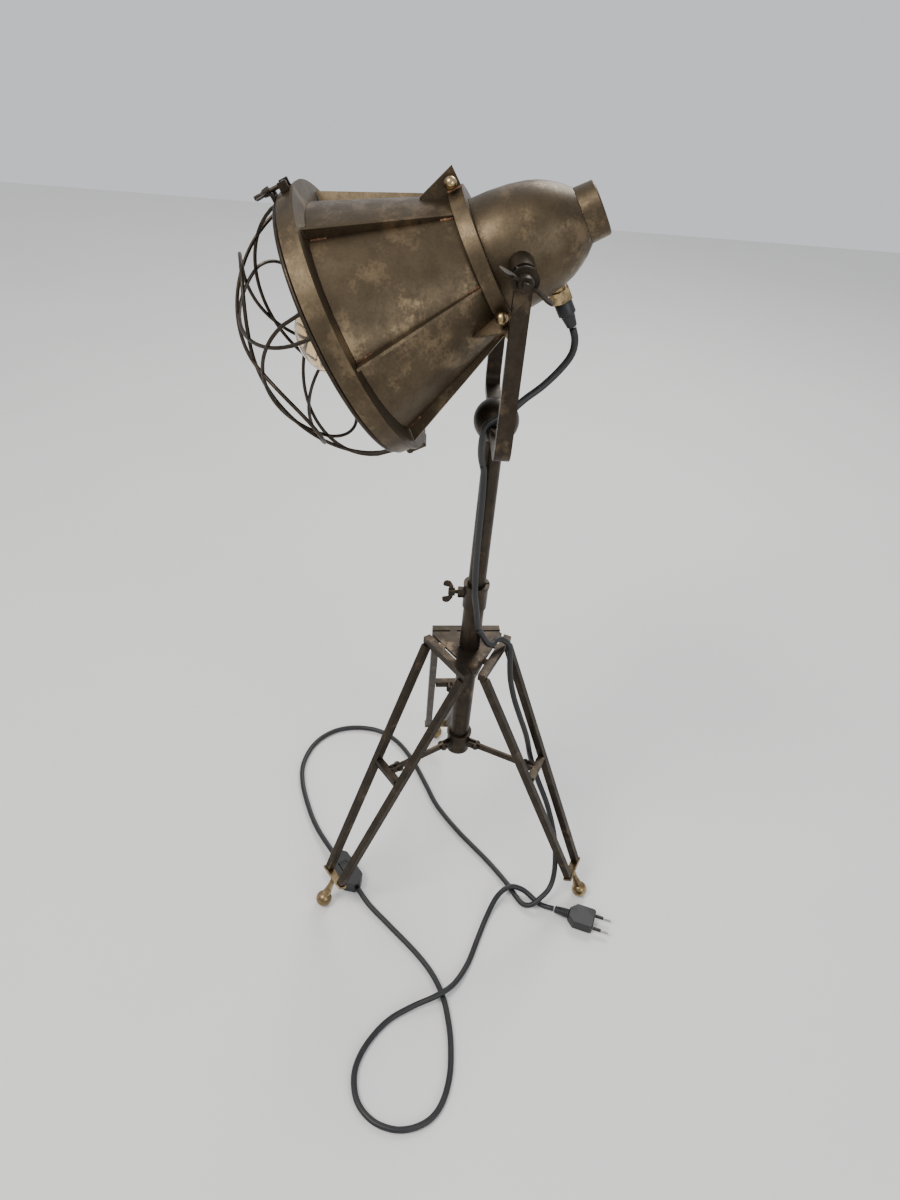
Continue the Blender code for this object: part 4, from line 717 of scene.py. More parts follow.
CORD_TAIL = (
    (0.0892, -0.1118, 0.0080), (0.1090, -0.0970, 0.0048), (0.1350, -0.0720, 0.0036),
    (0.1710, -0.0380, 0.0036), (0.1980, -0.0180, 0.0036), (0.2250, -0.0060, 0.0036),
    (0.2510, -0.0005, 0.0036), (0.2760, 0.0020, 0.0036), (0.3080, 0.0010, 0.0036),
    (0.3350, -0.0060, 0.0036), (0.3530, -0.0180, 0.0036), (0.3630, -0.0360, 0.0036),
    (0.3650, -0.0570, 0.0036), (0.3570, -0.0790, 0.0036), (0.3390, -0.0950, 0.0036),
    (0.3140, -0.1000, 0.0036), (0.2920, -0.0950, 0.0036), (0.2700, -0.0820, 0.0036),
    (0.2510, -0.0640, 0.0036), (0.2370, -0.0390, 0.0060), (0.2270, -0.0140, 0.0105),
    (0.2110, 0.0060, 0.0080), (0.1830, 0.0230, 0.0036), (0.1500, 0.0360, 0.0036),
    (0.1180, 0.0490, 0.0045), (0.0950, 0.0620, 0.0105), (0.0820, 0.0780, 0.0122),
    (0.0820, 0.0950, 0.0075), (0.0930, 0.1090, 0.0040), (0.1010, 0.1170, 0.0048),
    (0.1052, 0.1240, 0.0068), (0.1076, 0.1320, 0.0072),
)


def route(*runs):
    """The runs joined into one smooth path, from the mast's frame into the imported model's."""
    points = [Vector(place) for run in runs for place in run]
    return [MAST @ place for place in smooth_path(points, CORD_SPACING)]


def measured(points):
    return sum((end - start).length for start, end in zip(points, points[1:]))


LEAD_PATHS = {
    "lead_head": route(CORD_HEAD, CORD_SWIVEL[:1]),
    "lead_swivel": route(CORD_SWIVEL, CORD_MAST[:1]),
    "lead_mast": route(CORD_MAST, CORD_LEG[:1]),
    "lead_run": route(CORD_LEG, CORD_FLOOR),
    "lead_tail": route(CORD_TAIL),
}
for name, points in LEAD_PATHS.items():
    print(name, round(measured(points), 3), "m")

# %% The lead
def lead(name, body, stands_for):
    """One run of the lead as a round tube."""
    points = LEAD_PATHS[name]
    mesh = tube(points, CORD_RADIUS, roundness=4)
    mesh.materials.clear()
    mesh.materials.append(finish_of("black_rubber"))
    mesh.shade_smooth()
    piece = bpy.data.objects.new(name, mesh)
    bpy.context.scene.collection.objects.link(piece)
    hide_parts(*stands_for)
    if isinstance(body, str):
        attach(piece, body)
    else:
        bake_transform(piece)
    measured(points)


lead("lead_head", ("yoke", "head"), ["cord_head"])
lead("lead_swivel", ("mast", "yoke"), ["cord_swivel"])
lead("lead_mast", ("stand", "mast"), ["cord_mast"])
print("upper lead ready")

# %% [markdown]
# The switch lies in the lead: one moulded body with tapered ends and a rocker in a well. The plug is
# a flat two-pin one with a sleeve that keeps the lead from kinking, and pins half covered by dark sleeves.

# %% Switch and plug
SWITCH_WIDTH = 0.0270
SWITCH_HEIGHT = 0.0180
SWITCH_END_GAPS = 0.0022
SWITCH_END_HALF = 0.0045      # half the width of the switch's ends
SWITCH_TAPER = 0.0100
SWITCH_BODY_SHARE = 0.88      # of the switch's height, which the rocker completes
ROCKER_LENGTH = 0.0160
ROCKER_WIDTH = 0.0100
PLUG_BODY_LENGTH = 0.0320
PLUG_HALF_WIDTH = 0.0137
PLUG_HALF_HEIGHT = 0.0067
PLUG_NECK_RADIUS = 0.0055
PLUG_RELIEF_LENGTH = 0.0190
PIN_LENGTH = 0.0190
PIN_RADIUS = 0.0020
PIN_SPACING = 0.0180
PLUG_HEADING = 71.0
PLUG_START = 0.0012   # from the cord's end to the plug's relief
GAP = 0.0003          # air left between pieces that touch
WELD = 0.0008         # how far welded shapes run into each other
PIN_SLEEVE_LENGTH = 0.0100
PIN_SLEEVE_GROWTH = 0.00012


def end_of(route, last):
    """A route's end point and the direction in which the cord leaves it."""
    points = [Vector(place) for place in (route[::-1] if last else route)]
    return points[0], (points[0] - points[1]).normalized()


def switch_frame():
    start, _ = end_of(CORD_FLOOR, True)
    end, _ = end_of(CORD_TAIL, False)
    run = end - start
    heading = math.degrees(math.atan2(run.y, run.x))
    return Matrix.Translation((start + end) / 2) @ turn("Z", heading), run.length


def inline_switch(stand):
    place, run = switch_frame()
    length = run - SWITCH_END_GAPS
    half, width = length / 2, SWITCH_WIDTH / 2
    end, shoulder = SWITCH_END_HALF, half - SWITCH_TAPER
    outline = [(half, -end), (half, end), (shoulder, width), (-shoulder, width),
               (-half, end), (-half, -end), (-shoulder, -width), (shoulder, -width)]
    body = plate(outline, SWITCH_HEIGHT * SWITCH_BODY_SHARE)
    well = box(ROCKER_LENGTH + 4 * GAP, ROCKER_WIDTH + 4 * GAP, 0.010)
    body = cut(body, well, shift(z=SWITCH_HEIGHT / 2))
    part("switch_body", body, place, finish_of("black_plastic"), stand)
    rocker_seat = stand @ place @ shift(z=SWITCH_HEIGHT / 2 - 0.0022)
    rocker = plate([(-ROCKER_LENGTH / 2, 0.0012), (0.0, -0.0014), (ROCKER_LENGTH / 2, 0.0002),
                    (ROCKER_LENGTH / 2, 0.0018), (0.0, 0.0010), (-ROCKER_LENGTH / 2, 0.0034)], ROCKER_WIDTH)
    part("switch_rocker", rocker, UPRIGHT, finish_of("black_plastic"), rocker_seat)


def plug_frame():
    """The plug lies flat, in line with the end of its cord."""
    start, _ = end_of(CORD_TAIL, True)
    return Matrix.Translation((start.x, start.y, PLUG_HALF_HEIGHT + GAP)) @ turn("Z", PLUG_HEADING)


def plug(parent):
    place = plug_frame()
    start, relief, width = PLUG_START, PLUG_RELIEF_LENGTH, PLUG_HALF_WIDTH
    end = relief + PLUG_BODY_LENGTH
    outline = [
        (relief, -PLUG_NECK_RADIUS), (relief + 0.008, -width), (end - 0.002, -width),
        (end, -width + 0.002), (end, width - 0.002), (end - 0.002, width),
        (relief + 0.008, width), (relief, PLUG_NECK_RADIUS),
    ]
    body = plate(outline, 2 * PLUG_HALF_HEIGHT)
    neck = turned([
        (0.0, relief + WELD), (PLUG_NECK_RADIUS, relief + WELD), (CORD_RADIUS + WELD, start), (0.0, start),
    ], SMALL_ROUND)
    body = joined(body, neck, aim((0.0, 0.0, 0.0), (1.0, 0.0, 0.0)))
    part("plug", body, place, finish_of("black_rubber"), parent)
    for name, side in (("plug_pin_left", 1), ("plug_pin_right", -1)):
        pin = cylinder(PIN_LENGTH, PIN_RADIUS)
        seat = aim((end + GAP, side * PIN_SPACING / 2, 0.0), (1.0, 0.0, 0.0))
        part(name, pin, place @ seat, finish_of("steel"), parent)
        sleeve = cylinder(PIN_SLEEVE_LENGTH, PIN_RADIUS + PIN_SLEEVE_GROWTH)
        sleeve.transform(parent @ place @ seat)
        set_down(name + "_sleeve", sleeve, finish_of("black_plastic"), "stand")


inline_switch(MAST)
plug(MAST)
sleeve_place = MAST @ plug_frame() @ aim((0.0025, 0.0, 0.0), (1.0, 0.0, 0.0))
rings("plug_sleeve_ribs", sleeve_place, finish_of("black_rubber"), "stand",
      Count=7, Pitch=0.0023, Radius=CORD_RADIUS + 0.0009, Ridge=0.0006, End_scale=1.28)
lead("lead_run", "stand", ["cord_leg", "cord_floor"])
lead("lead_tail", "stand", ["cord_tail"])
print("switch and plug ready")

# %% [markdown]
# The tripod is welded and bolted from square bar. Each leg is two bars that run together towards a turned
# ball foot, with a cross bar between them, and a flat stay from the cross bar to the hub on the column.

# %% Tripod sizes
PLATE_TOP = 0.336
PIVOT_HEIGHT = 0.7646
BALL_HEIGHT = 0.609
COLLAR_TOP = 0.422
TUBE_FOOT = 0.1755
TRIPOD_TURN = 4.8         # degrees that the tripod is turned from the head's side axis
LEG_AZIMUTHS = (-60.0, 60.0, 180.0)
FOOT_CIRCLE_RADIUS = 0.185
FOOT_BALL_RADIUS = 0.0095
FOOT_FLAT_RADIUS = 0.0026
FOOT_NECK_RADIUS = 0.0032
FOOT_COLLAR_RADIUS = 0.0050
PLATE_CIRCUMRADIUS = 0.0480
PLATE_THICKNESS = 0.0030
PLATE_CORNER_CLIP = 0.0022
LEG_BAR = 0.0085          # side of the square leg tubes
LEG_TOP_RADIUS = 0.0310
LEG_TOP_DROP = 0.0045     # top bar's centre below the plate's top
LEG_TOP_HALF_SPREAD = 0.0340
LEG_FOOT_HALF_SPREAD = 0.0135
LEG_FOOT_PLATE_ALONG = 0.3220
FOOT_PLATE_HALF_WIDTH = 0.0190
FOOT_PLATE_DEPTH = 0.0100
FOOT_PLATE_THICKNESS = 0.0030
CROSS_BAR_ALONG = 0.1600
CROSS_BAR_HEIGHT = 0.0080
CROSS_BAR_AIR = 0.0009    # left at each end of a cross bar
TAB_WIDTH = 0.0080
TAB_OFFSET = 0.0150
TAB_THICKNESS = 0.0022
OUTER_TUBE_RADIUS = 0.0112
INNER_TUBE_RADIUS = 0.0093
TUBE_WALL = 0.0015
INNER_TUBE_FOOT = 0.3120
BALL_RADIUS = 0.0212
BALL_SOCKET_DEPTH = 0.0095
COLLAR_HEIGHT = 0.0300
COLLAR_RADIUS = 0.0128
COLLAR_FLARE_RADIUS = 0.0138
COLLAR_LIP = 0.0035
COLLAR_SPLIT = 0.0018
CLAMP_SCREW_DROP = 0.0130   # below the collar's top
CLAMP_NUT_FLAT_RADIUS = 0.0052
CLAMP_NUT_LENGTH = 0.0062
SCREW_RADIUS = 0.0021
HUB_RADIUS = 0.0135
HUB_HEIGHT = 0.0280
HUB_BEAD_RADIUS = 0.0146
HUB_BEAD_HEIGHT = 0.0040
STAY_HEIGHT = 0.1890
STAY_PIN_RADIUS = 0.0235    # from the column's axis to the inner bolt
STAY_THICKNESS = 0.0030
STAY_DEPTH = 0.0080
EAR_THICKNESS = 0.0022
RIVET_RADIUS = 0.0020
RIVET_HEAD_RADIUS = 0.0040
RIVET_HEAD_HEIGHT = 0.0020
EAR_REACH = 0.0100          # from the cross bar's face to the outer bolt
BOLT_CLEARANCE = 0.0003   # radial clearance of a bolt in its hole
RUNNING = 0.00008         # radial clearance of pieces that turn or slide on each other
LEG_TOP = Vector((LEG_TOP_RADIUS, 0.0, PLATE_TOP - LEG_TOP_DROP))
FOOT_CENTRE = Vector((FOOT_CIRCLE_RADIUS, 0.0, math.sqrt(FOOT_BALL_RADIUS**2 - FOOT_FLAT_RADIUS**2)))
LEG_DIRECTION = (FOOT_CENTRE - LEG_TOP).normalized()
LEG_LENGTH = (FOOT_CENTRE - LEG_TOP).length
print("leg length", round(LEG_LENGTH, 3), "m")

# %% Tripod pieces
def top_plate(parent):
    """The triangular plate, and the bars that its tabs hold, which head the three legs."""
    corners = []
    clip = PLATE_CIRCUMRADIUS - math.sqrt(3.0) * PLATE_CORNER_CLIP
    for index in range(3):
        angle = math.radians(120.0 * index)
        across = Vector((-math.sin(angle), math.cos(angle)))
        outward = Vector((math.cos(angle), math.sin(angle)))
        for side in (-1, 1):
            corners.append(tuple(outward * clip + across * side * PLATE_CORNER_CLIP))
    middle = PLATE_TOP - PLATE_THICKNESS / 2
    pieces = [(plate(corners, PLATE_THICKNESS), shift(z=middle))]
    inside = PLATE_CIRCUMRADIUS / 2 - WELD
    outside = LEG_TOP_RADIUS - LEG_BAR / 2 + WELD
    for azimuth in LEG_AZIMUTHS:
        for side in (-1, 1):
            tab = box(outside - inside, TAB_WIDTH, TAB_THICKNESS)
            place = shift((outside + inside) / 2, side * TAB_OFFSET, middle)
            pieces.append((tab, turn("Z", azimuth) @ place))
        bar = box(LEG_BAR, 2 * LEG_TOP_HALF_SPREAD + LEG_BAR, LEG_BAR)
        pieces.append((bar, turn("Z", azimuth) @ Matrix.Translation(LEG_TOP)))
    body = welded(pieces)
    hole = cylinder(PLATE_THICKNESS * 3, OUTER_TUBE_RADIUS + GAP, sides=ROUND)
    body = cut(body, hole, shift(z=middle - PLATE_THICKNESS * 1.5))
    part("top_plate", body, HERE, finish_of("dark_bronze"), parent)


def hub_collar(parent):
    bore = OUTER_TUBE_RADIUS + GAP
    top = TUBE_FOOT + HUB_HEIGHT
    bead = top - HUB_BEAD_HEIGHT
    body = turned([
        (HUB_BEAD_RADIUS, top), (HUB_BEAD_RADIUS, bead), (HUB_RADIUS, bead),
        (HUB_RADIUS, TUBE_FOOT + GAP), (bore, TUBE_FOOT + GAP), (bore, top),
    ])
    pieces = [(body, HERE)]
    for azimuth in LEG_AZIMUTHS:
        for side in (-1, 1):
            pieces.append((hub_ear(), turn("Z", azimuth) @ ear_place(side)))
    part("hub_collar", welded(pieces), HERE, finish_of("dark_bronze"), parent)


def hub_ear():
    """One ear in the upright plane through the column's axis."""
    low = STAY_HEIGHT - STAY_DEPTH / 2
    high = STAY_HEIGHT + STAY_DEPTH / 2
    outline = [(HUB_RADIUS - WELD, low), (STAY_PIN_RADIUS, low)]
    outline += arc((STAY_PIN_RADIUS, STAY_HEIGHT), STAY_DEPTH / 2, -80.0, 80.0, CORNER_STEPS)
    outline += [(STAY_PIN_RADIUS, high), (HUB_RADIUS - WELD, high)]
    ear = plate(outline, EAR_THICKNESS)
    hole = cylinder(0.02, RIVET_RADIUS + BOLT_CLEARANCE)
    return cut(ear, hole, shift(STAY_PIN_RADIUS, STAY_HEIGHT, -0.01))


def ear_place(side):
    return shift(y=side * (STAY_THICKNESS / 2 + EAR_THICKNESS / 2 + GAP)) @ UPRIGHT


def cross_bar_centre():
    return LEG_TOP + LEG_DIRECTION * CROSS_BAR_ALONG


def outer_pin_radius():
    return cross_bar_centre().x - LEG_BAR / 2 - EAR_REACH


def stay(index, azimuth, parent):
    """A flat bar from the hub to a leg's cross bar, with the rivet headed over at each end."""
    inner, outer = STAY_PIN_RADIUS, outer_pin_radius()
    radius = STAY_DEPTH / 2
    outline = arc((outer, 0.0), radius, -90.0, 90.0, CORNER_STEPS)
    outline += arc((inner, 0.0), radius, 90.0, 270.0, CORNER_STEPS)
    bar = plate(outline, STAY_THICKNESS)
    for place in (inner, outer):
        bar = joined(bar, rivet(), shift(place))
    place = turn("Z", azimuth) @ shift(z=STAY_HEIGHT) @ UPRIGHT
    part(f"stay_{index}", bar, place, finish_of("dark_bronze"), parent)


def rivet():
    """A rivet along Z, centred on the origin, whose heads stand off both ears."""
    head_start = STAY_THICKNESS / 2 + EAR_THICKNESS + 2 * GAP
    end = head_start + RIVET_HEAD_HEIGHT
    return turned([
        (0.0, end), (RIVET_HEAD_RADIUS * 0.6, end), (RIVET_HEAD_RADIUS, head_start),
        (RIVET_RADIUS, head_start), (RIVET_RADIUS, -head_start),
        (RIVET_HEAD_RADIUS, -head_start), (RIVET_HEAD_RADIUS * 0.6, -end), (0.0, -end),
    ], SMALL_ROUND)


def side_tube(side):
    """One leg tube in the leg's frame, mitred under the top bar and above the foot plate."""
    top = LEG_TOP + Vector((0.0, side * LEG_TOP_HALF_SPREAD, 0.0))
    bottom = LEG_TOP + LEG_DIRECTION * LEG_FOOT_PLATE_ALONG
    bottom += Vector((0.0, side * LEG_FOOT_HALF_SPREAD, 0.0))
    run = bottom - top
    across = Vector((0.0, 1.0, 0.0))
    across = (across - across.project(run)).normalized()
    along = run.normalized()
    place = Matrix((across.cross(along), across, along)).transposed().to_4x4()
    place.translation = (top + bottom) / 2
    bar = box(LEG_BAR, LEG_BAR, run.length + 4 * LEG_BAR)
    bar.transform(place)
    slab = 0.1
    top_cut = shift(z=LEG_TOP.z - LEG_BAR / 2 - GAP + slab / 2)
    bar = cut(bar, box(slab * 2, slab * 2, slab), top_cut)
    plate_face = LEG_FOOT_PLATE_ALONG - FOOT_PLATE_THICKNESS / 2 - GAP
    return cut(bar, box(slab * 2, slab * 2, slab), leg_plane(plate_face + slab / 2))


def cross_bar_half_length():
    share = CROSS_BAR_ALONG / LEG_FOOT_PLATE_ALONG
    spread = LEG_TOP_HALF_SPREAD + (LEG_FOOT_HALF_SPREAD - LEG_TOP_HALF_SPREAD) * share
    return spread - LEG_BAR / 2 - CROSS_BAR_AIR


def cross_bar_ear():
    """An ear on the cross bar's inner face that takes the stay's outer rivet."""
    radius = outer_pin_radius()
    half = STAY_DEPTH / 2
    root = cross_bar_centre().x - LEG_BAR / 2 + WELD
    outline = arc((radius, STAY_HEIGHT), half, 100.0, 260.0, CORNER_STEPS)
    outline += [(root, STAY_HEIGHT - half * 0.9), (root, STAY_HEIGHT + half * 0.9)]
    ear = plate(outline, EAR_THICKNESS)
    hole = cylinder(0.02, RIVET_RADIUS + BOLT_CLEARANCE)
    return cut(ear, hole, shift(radius, STAY_HEIGHT, -0.01))


def leg(index, azimuth, parent):
    leg_frame = parent @ turn("Z", azimuth)
    part(f"leg_{index}_left_tube", side_tube(-1), HERE, finish_of("dark_bronze"), leg_frame)
    part(f"leg_{index}_right_tube", side_tube(1), HERE, finish_of("dark_bronze"), leg_frame)
    cross_bar = box(LEG_BAR, 2 * cross_bar_half_length(), CROSS_BAR_HEIGHT)
    cross_bar.transform(Matrix.Translation(cross_bar_centre()))
    for side in (-1, 1):
        cross_bar = joined(cross_bar, cross_bar_ear(), ear_place(side))
    part(f"leg_{index}_cross_bar", cross_bar, HERE, finish_of("dark_bronze"), leg_frame)
    leg_foot(index, leg_frame)


def leg_foot(index, parent):
    """The plate across a leg's end and the turned foot on it, flat where it meets the floor."""
    radius = FOOT_BALL_RADIUS
    plate_middle = LEG_LENGTH - LEG_FOOT_PLATE_ALONG
    start = plate_middle - FOOT_PLATE_THICKNESS / 2 + WELD
    join_angle = math.degrees(math.asin(FOOT_COLLAR_RADIUS / radius))
    profile = [(0.0, start), (FOOT_NECK_RADIUS, start), (FOOT_NECK_RADIUS, start * 0.62)]
    profile += [(FOOT_COLLAR_RADIUS, radius * math.cos(math.radians(join_angle)) + 0.003)]
    profile += [(y, x) for x, y in arc((0.0, 0.0), radius, join_angle, 180.0, 24)[:-1]]
    profile += [(0.0, -radius)]
    foot = turned(profile, ROUND)
    foot.transform(aim(FOOT_CENTRE, -LEG_DIRECTION))
    cross_plate = box(FOOT_PLATE_DEPTH, 2 * FOOT_PLATE_HALF_WIDTH, FOOT_PLATE_THICKNESS)
    foot = joined(foot, cross_plate, leg_plane(LEG_FOOT_PLATE_ALONG))
    foot = cut(foot, box(0.08, 0.08, 0.02), shift(FOOT_CENTRE.x, 0.0, -0.01))
    part(f"leg_{index}_foot", foot, HERE, finish_of("brass"), parent)


def leg_plane(along):
    """A frame across the leg at a distance down it, with +Y kept level."""
    across = Vector((0.0, 1.0, 0.0))
    place = Matrix((across.cross(LEG_DIRECTION), across, LEG_DIRECTION)).transposed().to_4x4()
    place.translation = LEG_TOP + LEG_DIRECTION * along
    return place


tripod = MAST @ turn("Z", TRIPOD_TURN)
top_plate(tripod)
hub_collar(tripod)
for leg_index, leg_azimuth in enumerate(LEG_AZIMUTHS, start=1):
    leg(leg_index, leg_azimuth, tripod)
    stay(leg_index, leg_azimuth, tripod)
print("tripod ready")

# %% [markdown]
# The column is a tube in a tube. A split collar with a wing screw grips the inner one, and the yoke stands on
# a ball at its top. The yoke is one bar bent to a U.

# %% Wing nuts
# Hub radius, hub length, span from tip to tip, thickness and height of the wings.
YOKE_WING = (0.0072, 0.0080, 0.0500, 0.0020, 0.0110)
LATCH_WING = (0.0040, 0.0055, 0.0300, 0.0014, 0.0070)
CLAMP_WING = (0.0044, 0.0070, 0.0280, 0.0018, 0.0090)
YOKE_WING_ANGLE = 32.0


def wing_blade(wing):
    """One wing in the XZ plane: it leaves the hub, flares and ends round."""
    hub_radius, hub_length, span, thickness, height = wing
    reach = span / 2
    end = (reach - height / 2, hub_length * 0.75 + height * 0.35)
    outline = [(hub_radius * 0.55, hub_length * 0.15), (reach * 0.55, hub_length * 0.30)]
    outline += arc(end, height / 2, -60.0, 110.0, CORNER_STEPS)
    outline += [(reach * 0.45, hub_length * 0.95), (hub_radius * 0.55, hub_length * 0.85)]
    return plate(outline, thickness)


def wing_nut(wing, bore_radius):
    """A nut on the Z axis, seated at z = 0, with two wings along X."""
    hub_radius, hub_length, *_ = wing
    nut = turned([(0.0, hub_length), (hub_radius * 0.80, hub_length), (hub_radius, 0.0), (0.0, 0.0)],
                 SMALL_ROUND)
    for side in (0.0, 180.0):
        nut = joined(nut, wing_blade(wing), turn("Z", side) @ UPRIGHT)
    if bore_radius > 0.0:
        nut = cut(nut, cylinder(hub_length * 4, bore_radius), shift(z=-hub_length * 2))
    return nut


print("wings", YOKE_WING[2], LATCH_WING[2], CLAMP_WING[2])

# %% Column and yoke
YOKE_ARM_INSIDE = 0.0760
YOKE_ARM_THICKNESS = 0.0080
YOKE_WIDTH = 0.0142
YOKE_CROSS_HEIGHT = 0.0080
YOKE_CORNER_RADIUS = 0.0180
YOKE_TOP_OVERHANG = 0.0075
PIVOT_BOLT_RADIUS = 0.0030
PIVOT_BOLT_END = 0.1016
WASHER_RADII = (0.0110, 0.0090)
WASHER_THICKNESSES = (0.0016, 0.0012)
YOKE_ARM_OUTSIDE = YOKE_ARM_INSIDE + YOKE_ARM_THICKNESS


def screw_hole(reach, length):
    """A hole's cutter along -Y at the clamp screw's height."""
    height = COLLAR_TOP - CLAMP_SCREW_DROP
    hole = cylinder(length, SCREW_RADIUS + BOLT_CLEARANCE)
    return hole, aim((0.0, -reach, height), (0.0, -1.0, 0.0))


def outer_tube(parent):
    radius = OUTER_TUBE_RADIUS
    top = COLLAR_TOP - COLLAR_LIP - GAP
    bore = radius - TUBE_WALL
    body = turned([(radius, top), (radius, TUBE_FOOT), (bore, TUBE_FOOT), (bore, top)])
    body = cut(body, *screw_hole(bore - 0.003, 0.008))
    part("outer_tube", body, HERE, finish_of("dark_bronze"), parent)


def clamp_collar(parent):
    """The split collar on the outer tube's end, with the nut that its wing screw runs in."""
    bottom = COLLAR_TOP - COLLAR_HEIGHT
    bore = OUTER_TUBE_RADIUS + GAP
    lip_bore = INNER_TUBE_RADIUS + GAP
    body = turned([
        (COLLAR_FLARE_RADIUS, COLLAR_TOP), (COLLAR_FLARE_RADIUS, COLLAR_TOP - 0.003),
        (COLLAR_RADIUS, COLLAR_TOP - 0.007), (COLLAR_RADIUS, bottom), (bore, bottom),
        (bore, COLLAR_TOP - COLLAR_LIP), (lip_bore, COLLAR_TOP - COLLAR_LIP), (lip_bore, COLLAR_TOP),
    ])
    nut = cylinder(CLAMP_NUT_LENGTH + WELD, CLAMP_NUT_FLAT_RADIUS / math.cos(math.radians(30.0)), sides=6)
    seat = aim((0.0, WELD - COLLAR_RADIUS, COLLAR_TOP - CLAMP_SCREW_DROP), (0.0, -1.0, 0.0))
    body = joined(body, nut, seat)
    body = cut(body, *screw_hole(bore - 0.003, 0.020))
    split = box(COLLAR_SPLIT, COLLAR_FLARE_RADIUS, COLLAR_HEIGHT * 0.8)
    body = cut(body, split, shift(y=COLLAR_FLARE_RADIUS / 2 + 0.002, z=COLLAR_TOP))
    part("clamp_collar", body, HERE, finish_of("dark_bronze"), parent)


def clamp_screw(parent):
    """The wing screw that holds the inner tube: its frame's Z axis points away from the tube."""
    hub_start = 0.0125
    shank = cylinder(hub_start + 0.001, SCREW_RADIUS)
    wings = wing_nut(CLAMP_WING, 0.0)
    screw = joined(shank, wings, shift(z=hub_start))
    part("clamp_screw", screw, HERE, finish_of("dark_bronze"), parent)


def inner_tube(parent):
    radius = INNER_TUBE_RADIUS
    bore = radius - TUBE_WALL
    top = BALL_HEIGHT - BALL_RADIUS + BALL_SOCKET_DEPTH - GAP
    body = turned([(radius, top), (radius, INNER_TUBE_FOOT), (bore, INNER_TUBE_FOOT), (bore, top)])
    part("inner_tube", body, HERE, finish_of("dark_bronze"), parent)


def yoke_outline(inset):
    """The U's path in the XZ plane, inset from its outer face."""
    half = YOKE_ARM_OUTSIDE - inset
    low = BALL_HEIGHT - YOKE_CROSS_HEIGHT / 2 + inset
    radius = YOKE_CORNER_RADIUS - inset
    top = PIVOT_HEIGHT + YOKE_TOP_OVERHANG
    left = arc((-half + radius, low + radius), radius, 180.0, 270.0, CORNER_STEPS)
    right = arc((half - radius, low + radius), radius, 270.0, 360.0, CORNER_STEPS)
    return [(-half, top), *left, *right, (half, top)]


def yoke(parent):
    outline = yoke_outline(0.0) + yoke_outline(YOKE_ARM_THICKNESS)[::-1]
    strap = plate(outline, YOKE_WIDTH)
    strap.transform(UPRIGHT)
    hole = cylinder(4 * PIVOT_BOLT_END, PIVOT_BOLT_RADIUS + BOLT_CLEARANCE)
    strap = cut(strap, hole, aim((-2 * PIVOT_BOLT_END, 0.0, PIVOT_HEIGHT), (1.0, 0.0, 0.0)))
    part("yoke", strap, HERE, finish_of("dark_bronze"), parent)


def swivel_ball(parent):
    body = ball(BALL_RADIUS, 2 * BALL_RINGS)
    slot = box(4 * BALL_RADIUS, YOKE_WIDTH + 2 * GAP, YOKE_CROSS_HEIGHT + 2 * GAP)
    body = cut(body, slot)
    socket = cylinder(BALL_SOCKET_DEPTH * 2, INNER_TUBE_RADIUS + GAP, sides=ROUND)
    body = cut(body, socket, shift(z=-BALL_RADIUS - BALL_SOCKET_DEPTH))
    part("swivel_ball", body, shift(z=BALL_HEIGHT), finish_of("dark_bronze"), parent)


def pivot_washer(name, side, parent):
    """A flat washer with the smaller collar that the wing nut turns on."""
    bore = PIVOT_BOLT_RADIUS + BOLT_CLEARANCE
    profile = [(bore, washer_stack())]
    height = washer_stack()
    for radius, thickness in reversed(list(zip(WASHER_RADII, WASHER_THICKNESSES))):
        profile += [(radius, height), (radius, height - thickness)]
        height -= thickness
    profile.append((bore, 0.0))
    place = aim((side * (YOKE_ARM_OUTSIDE + GAP), 0.0, PIVOT_HEIGHT), (side, 0.0, 0.0))
    part(name, turned(profile[1:] + profile[:1], SMALL_ROUND), place, finish_of("dark_bronze"), parent)


def washer_stack():
    return sum(WASHER_THICKNESSES)


def pivot_wing_nut(name, side, parent):
    """A wing nut whose frame's X axis is the pivot's axis."""
    nut = wing_nut(YOKE_WING, PIVOT_BOLT_RADIUS + BOLT_CLEARANCE)
    seat = YOKE_ARM_OUTSIDE + GAP + washer_stack() + GAP
    place = turn("X", YOKE_WING_ANGLE) @ aim((side * seat, 0.0, 0.0), (side, 0.0, 0.0))
    part(name, nut, place @ turn("Z", 90.0), finish_of("dark_bronze"), parent)


outer_tube(MAST)
clamp_collar(MAST)
clamp_screw(MAST @ aim((0.0, -INNER_TUBE_RADIUS - GAP, COLLAR_TOP - CLAMP_SCREW_DROP), (0.0, -1.0, 0.0)))
inner_tube(MAST)
yoke(MAST)
swivel_ball(MAST)
pivot_washer("pivot_washer_right", 1, MAST)
pivot_washer("pivot_washer_left", -1, MAST)
print("column ready")

# %% [markdown]
# The head is a spot lamp's housing: a turned dome, a band, a spun cone with six fins, and a front ring. Its
# own frame has +Z forwards along the bulb and +Y up, tilted down from level.

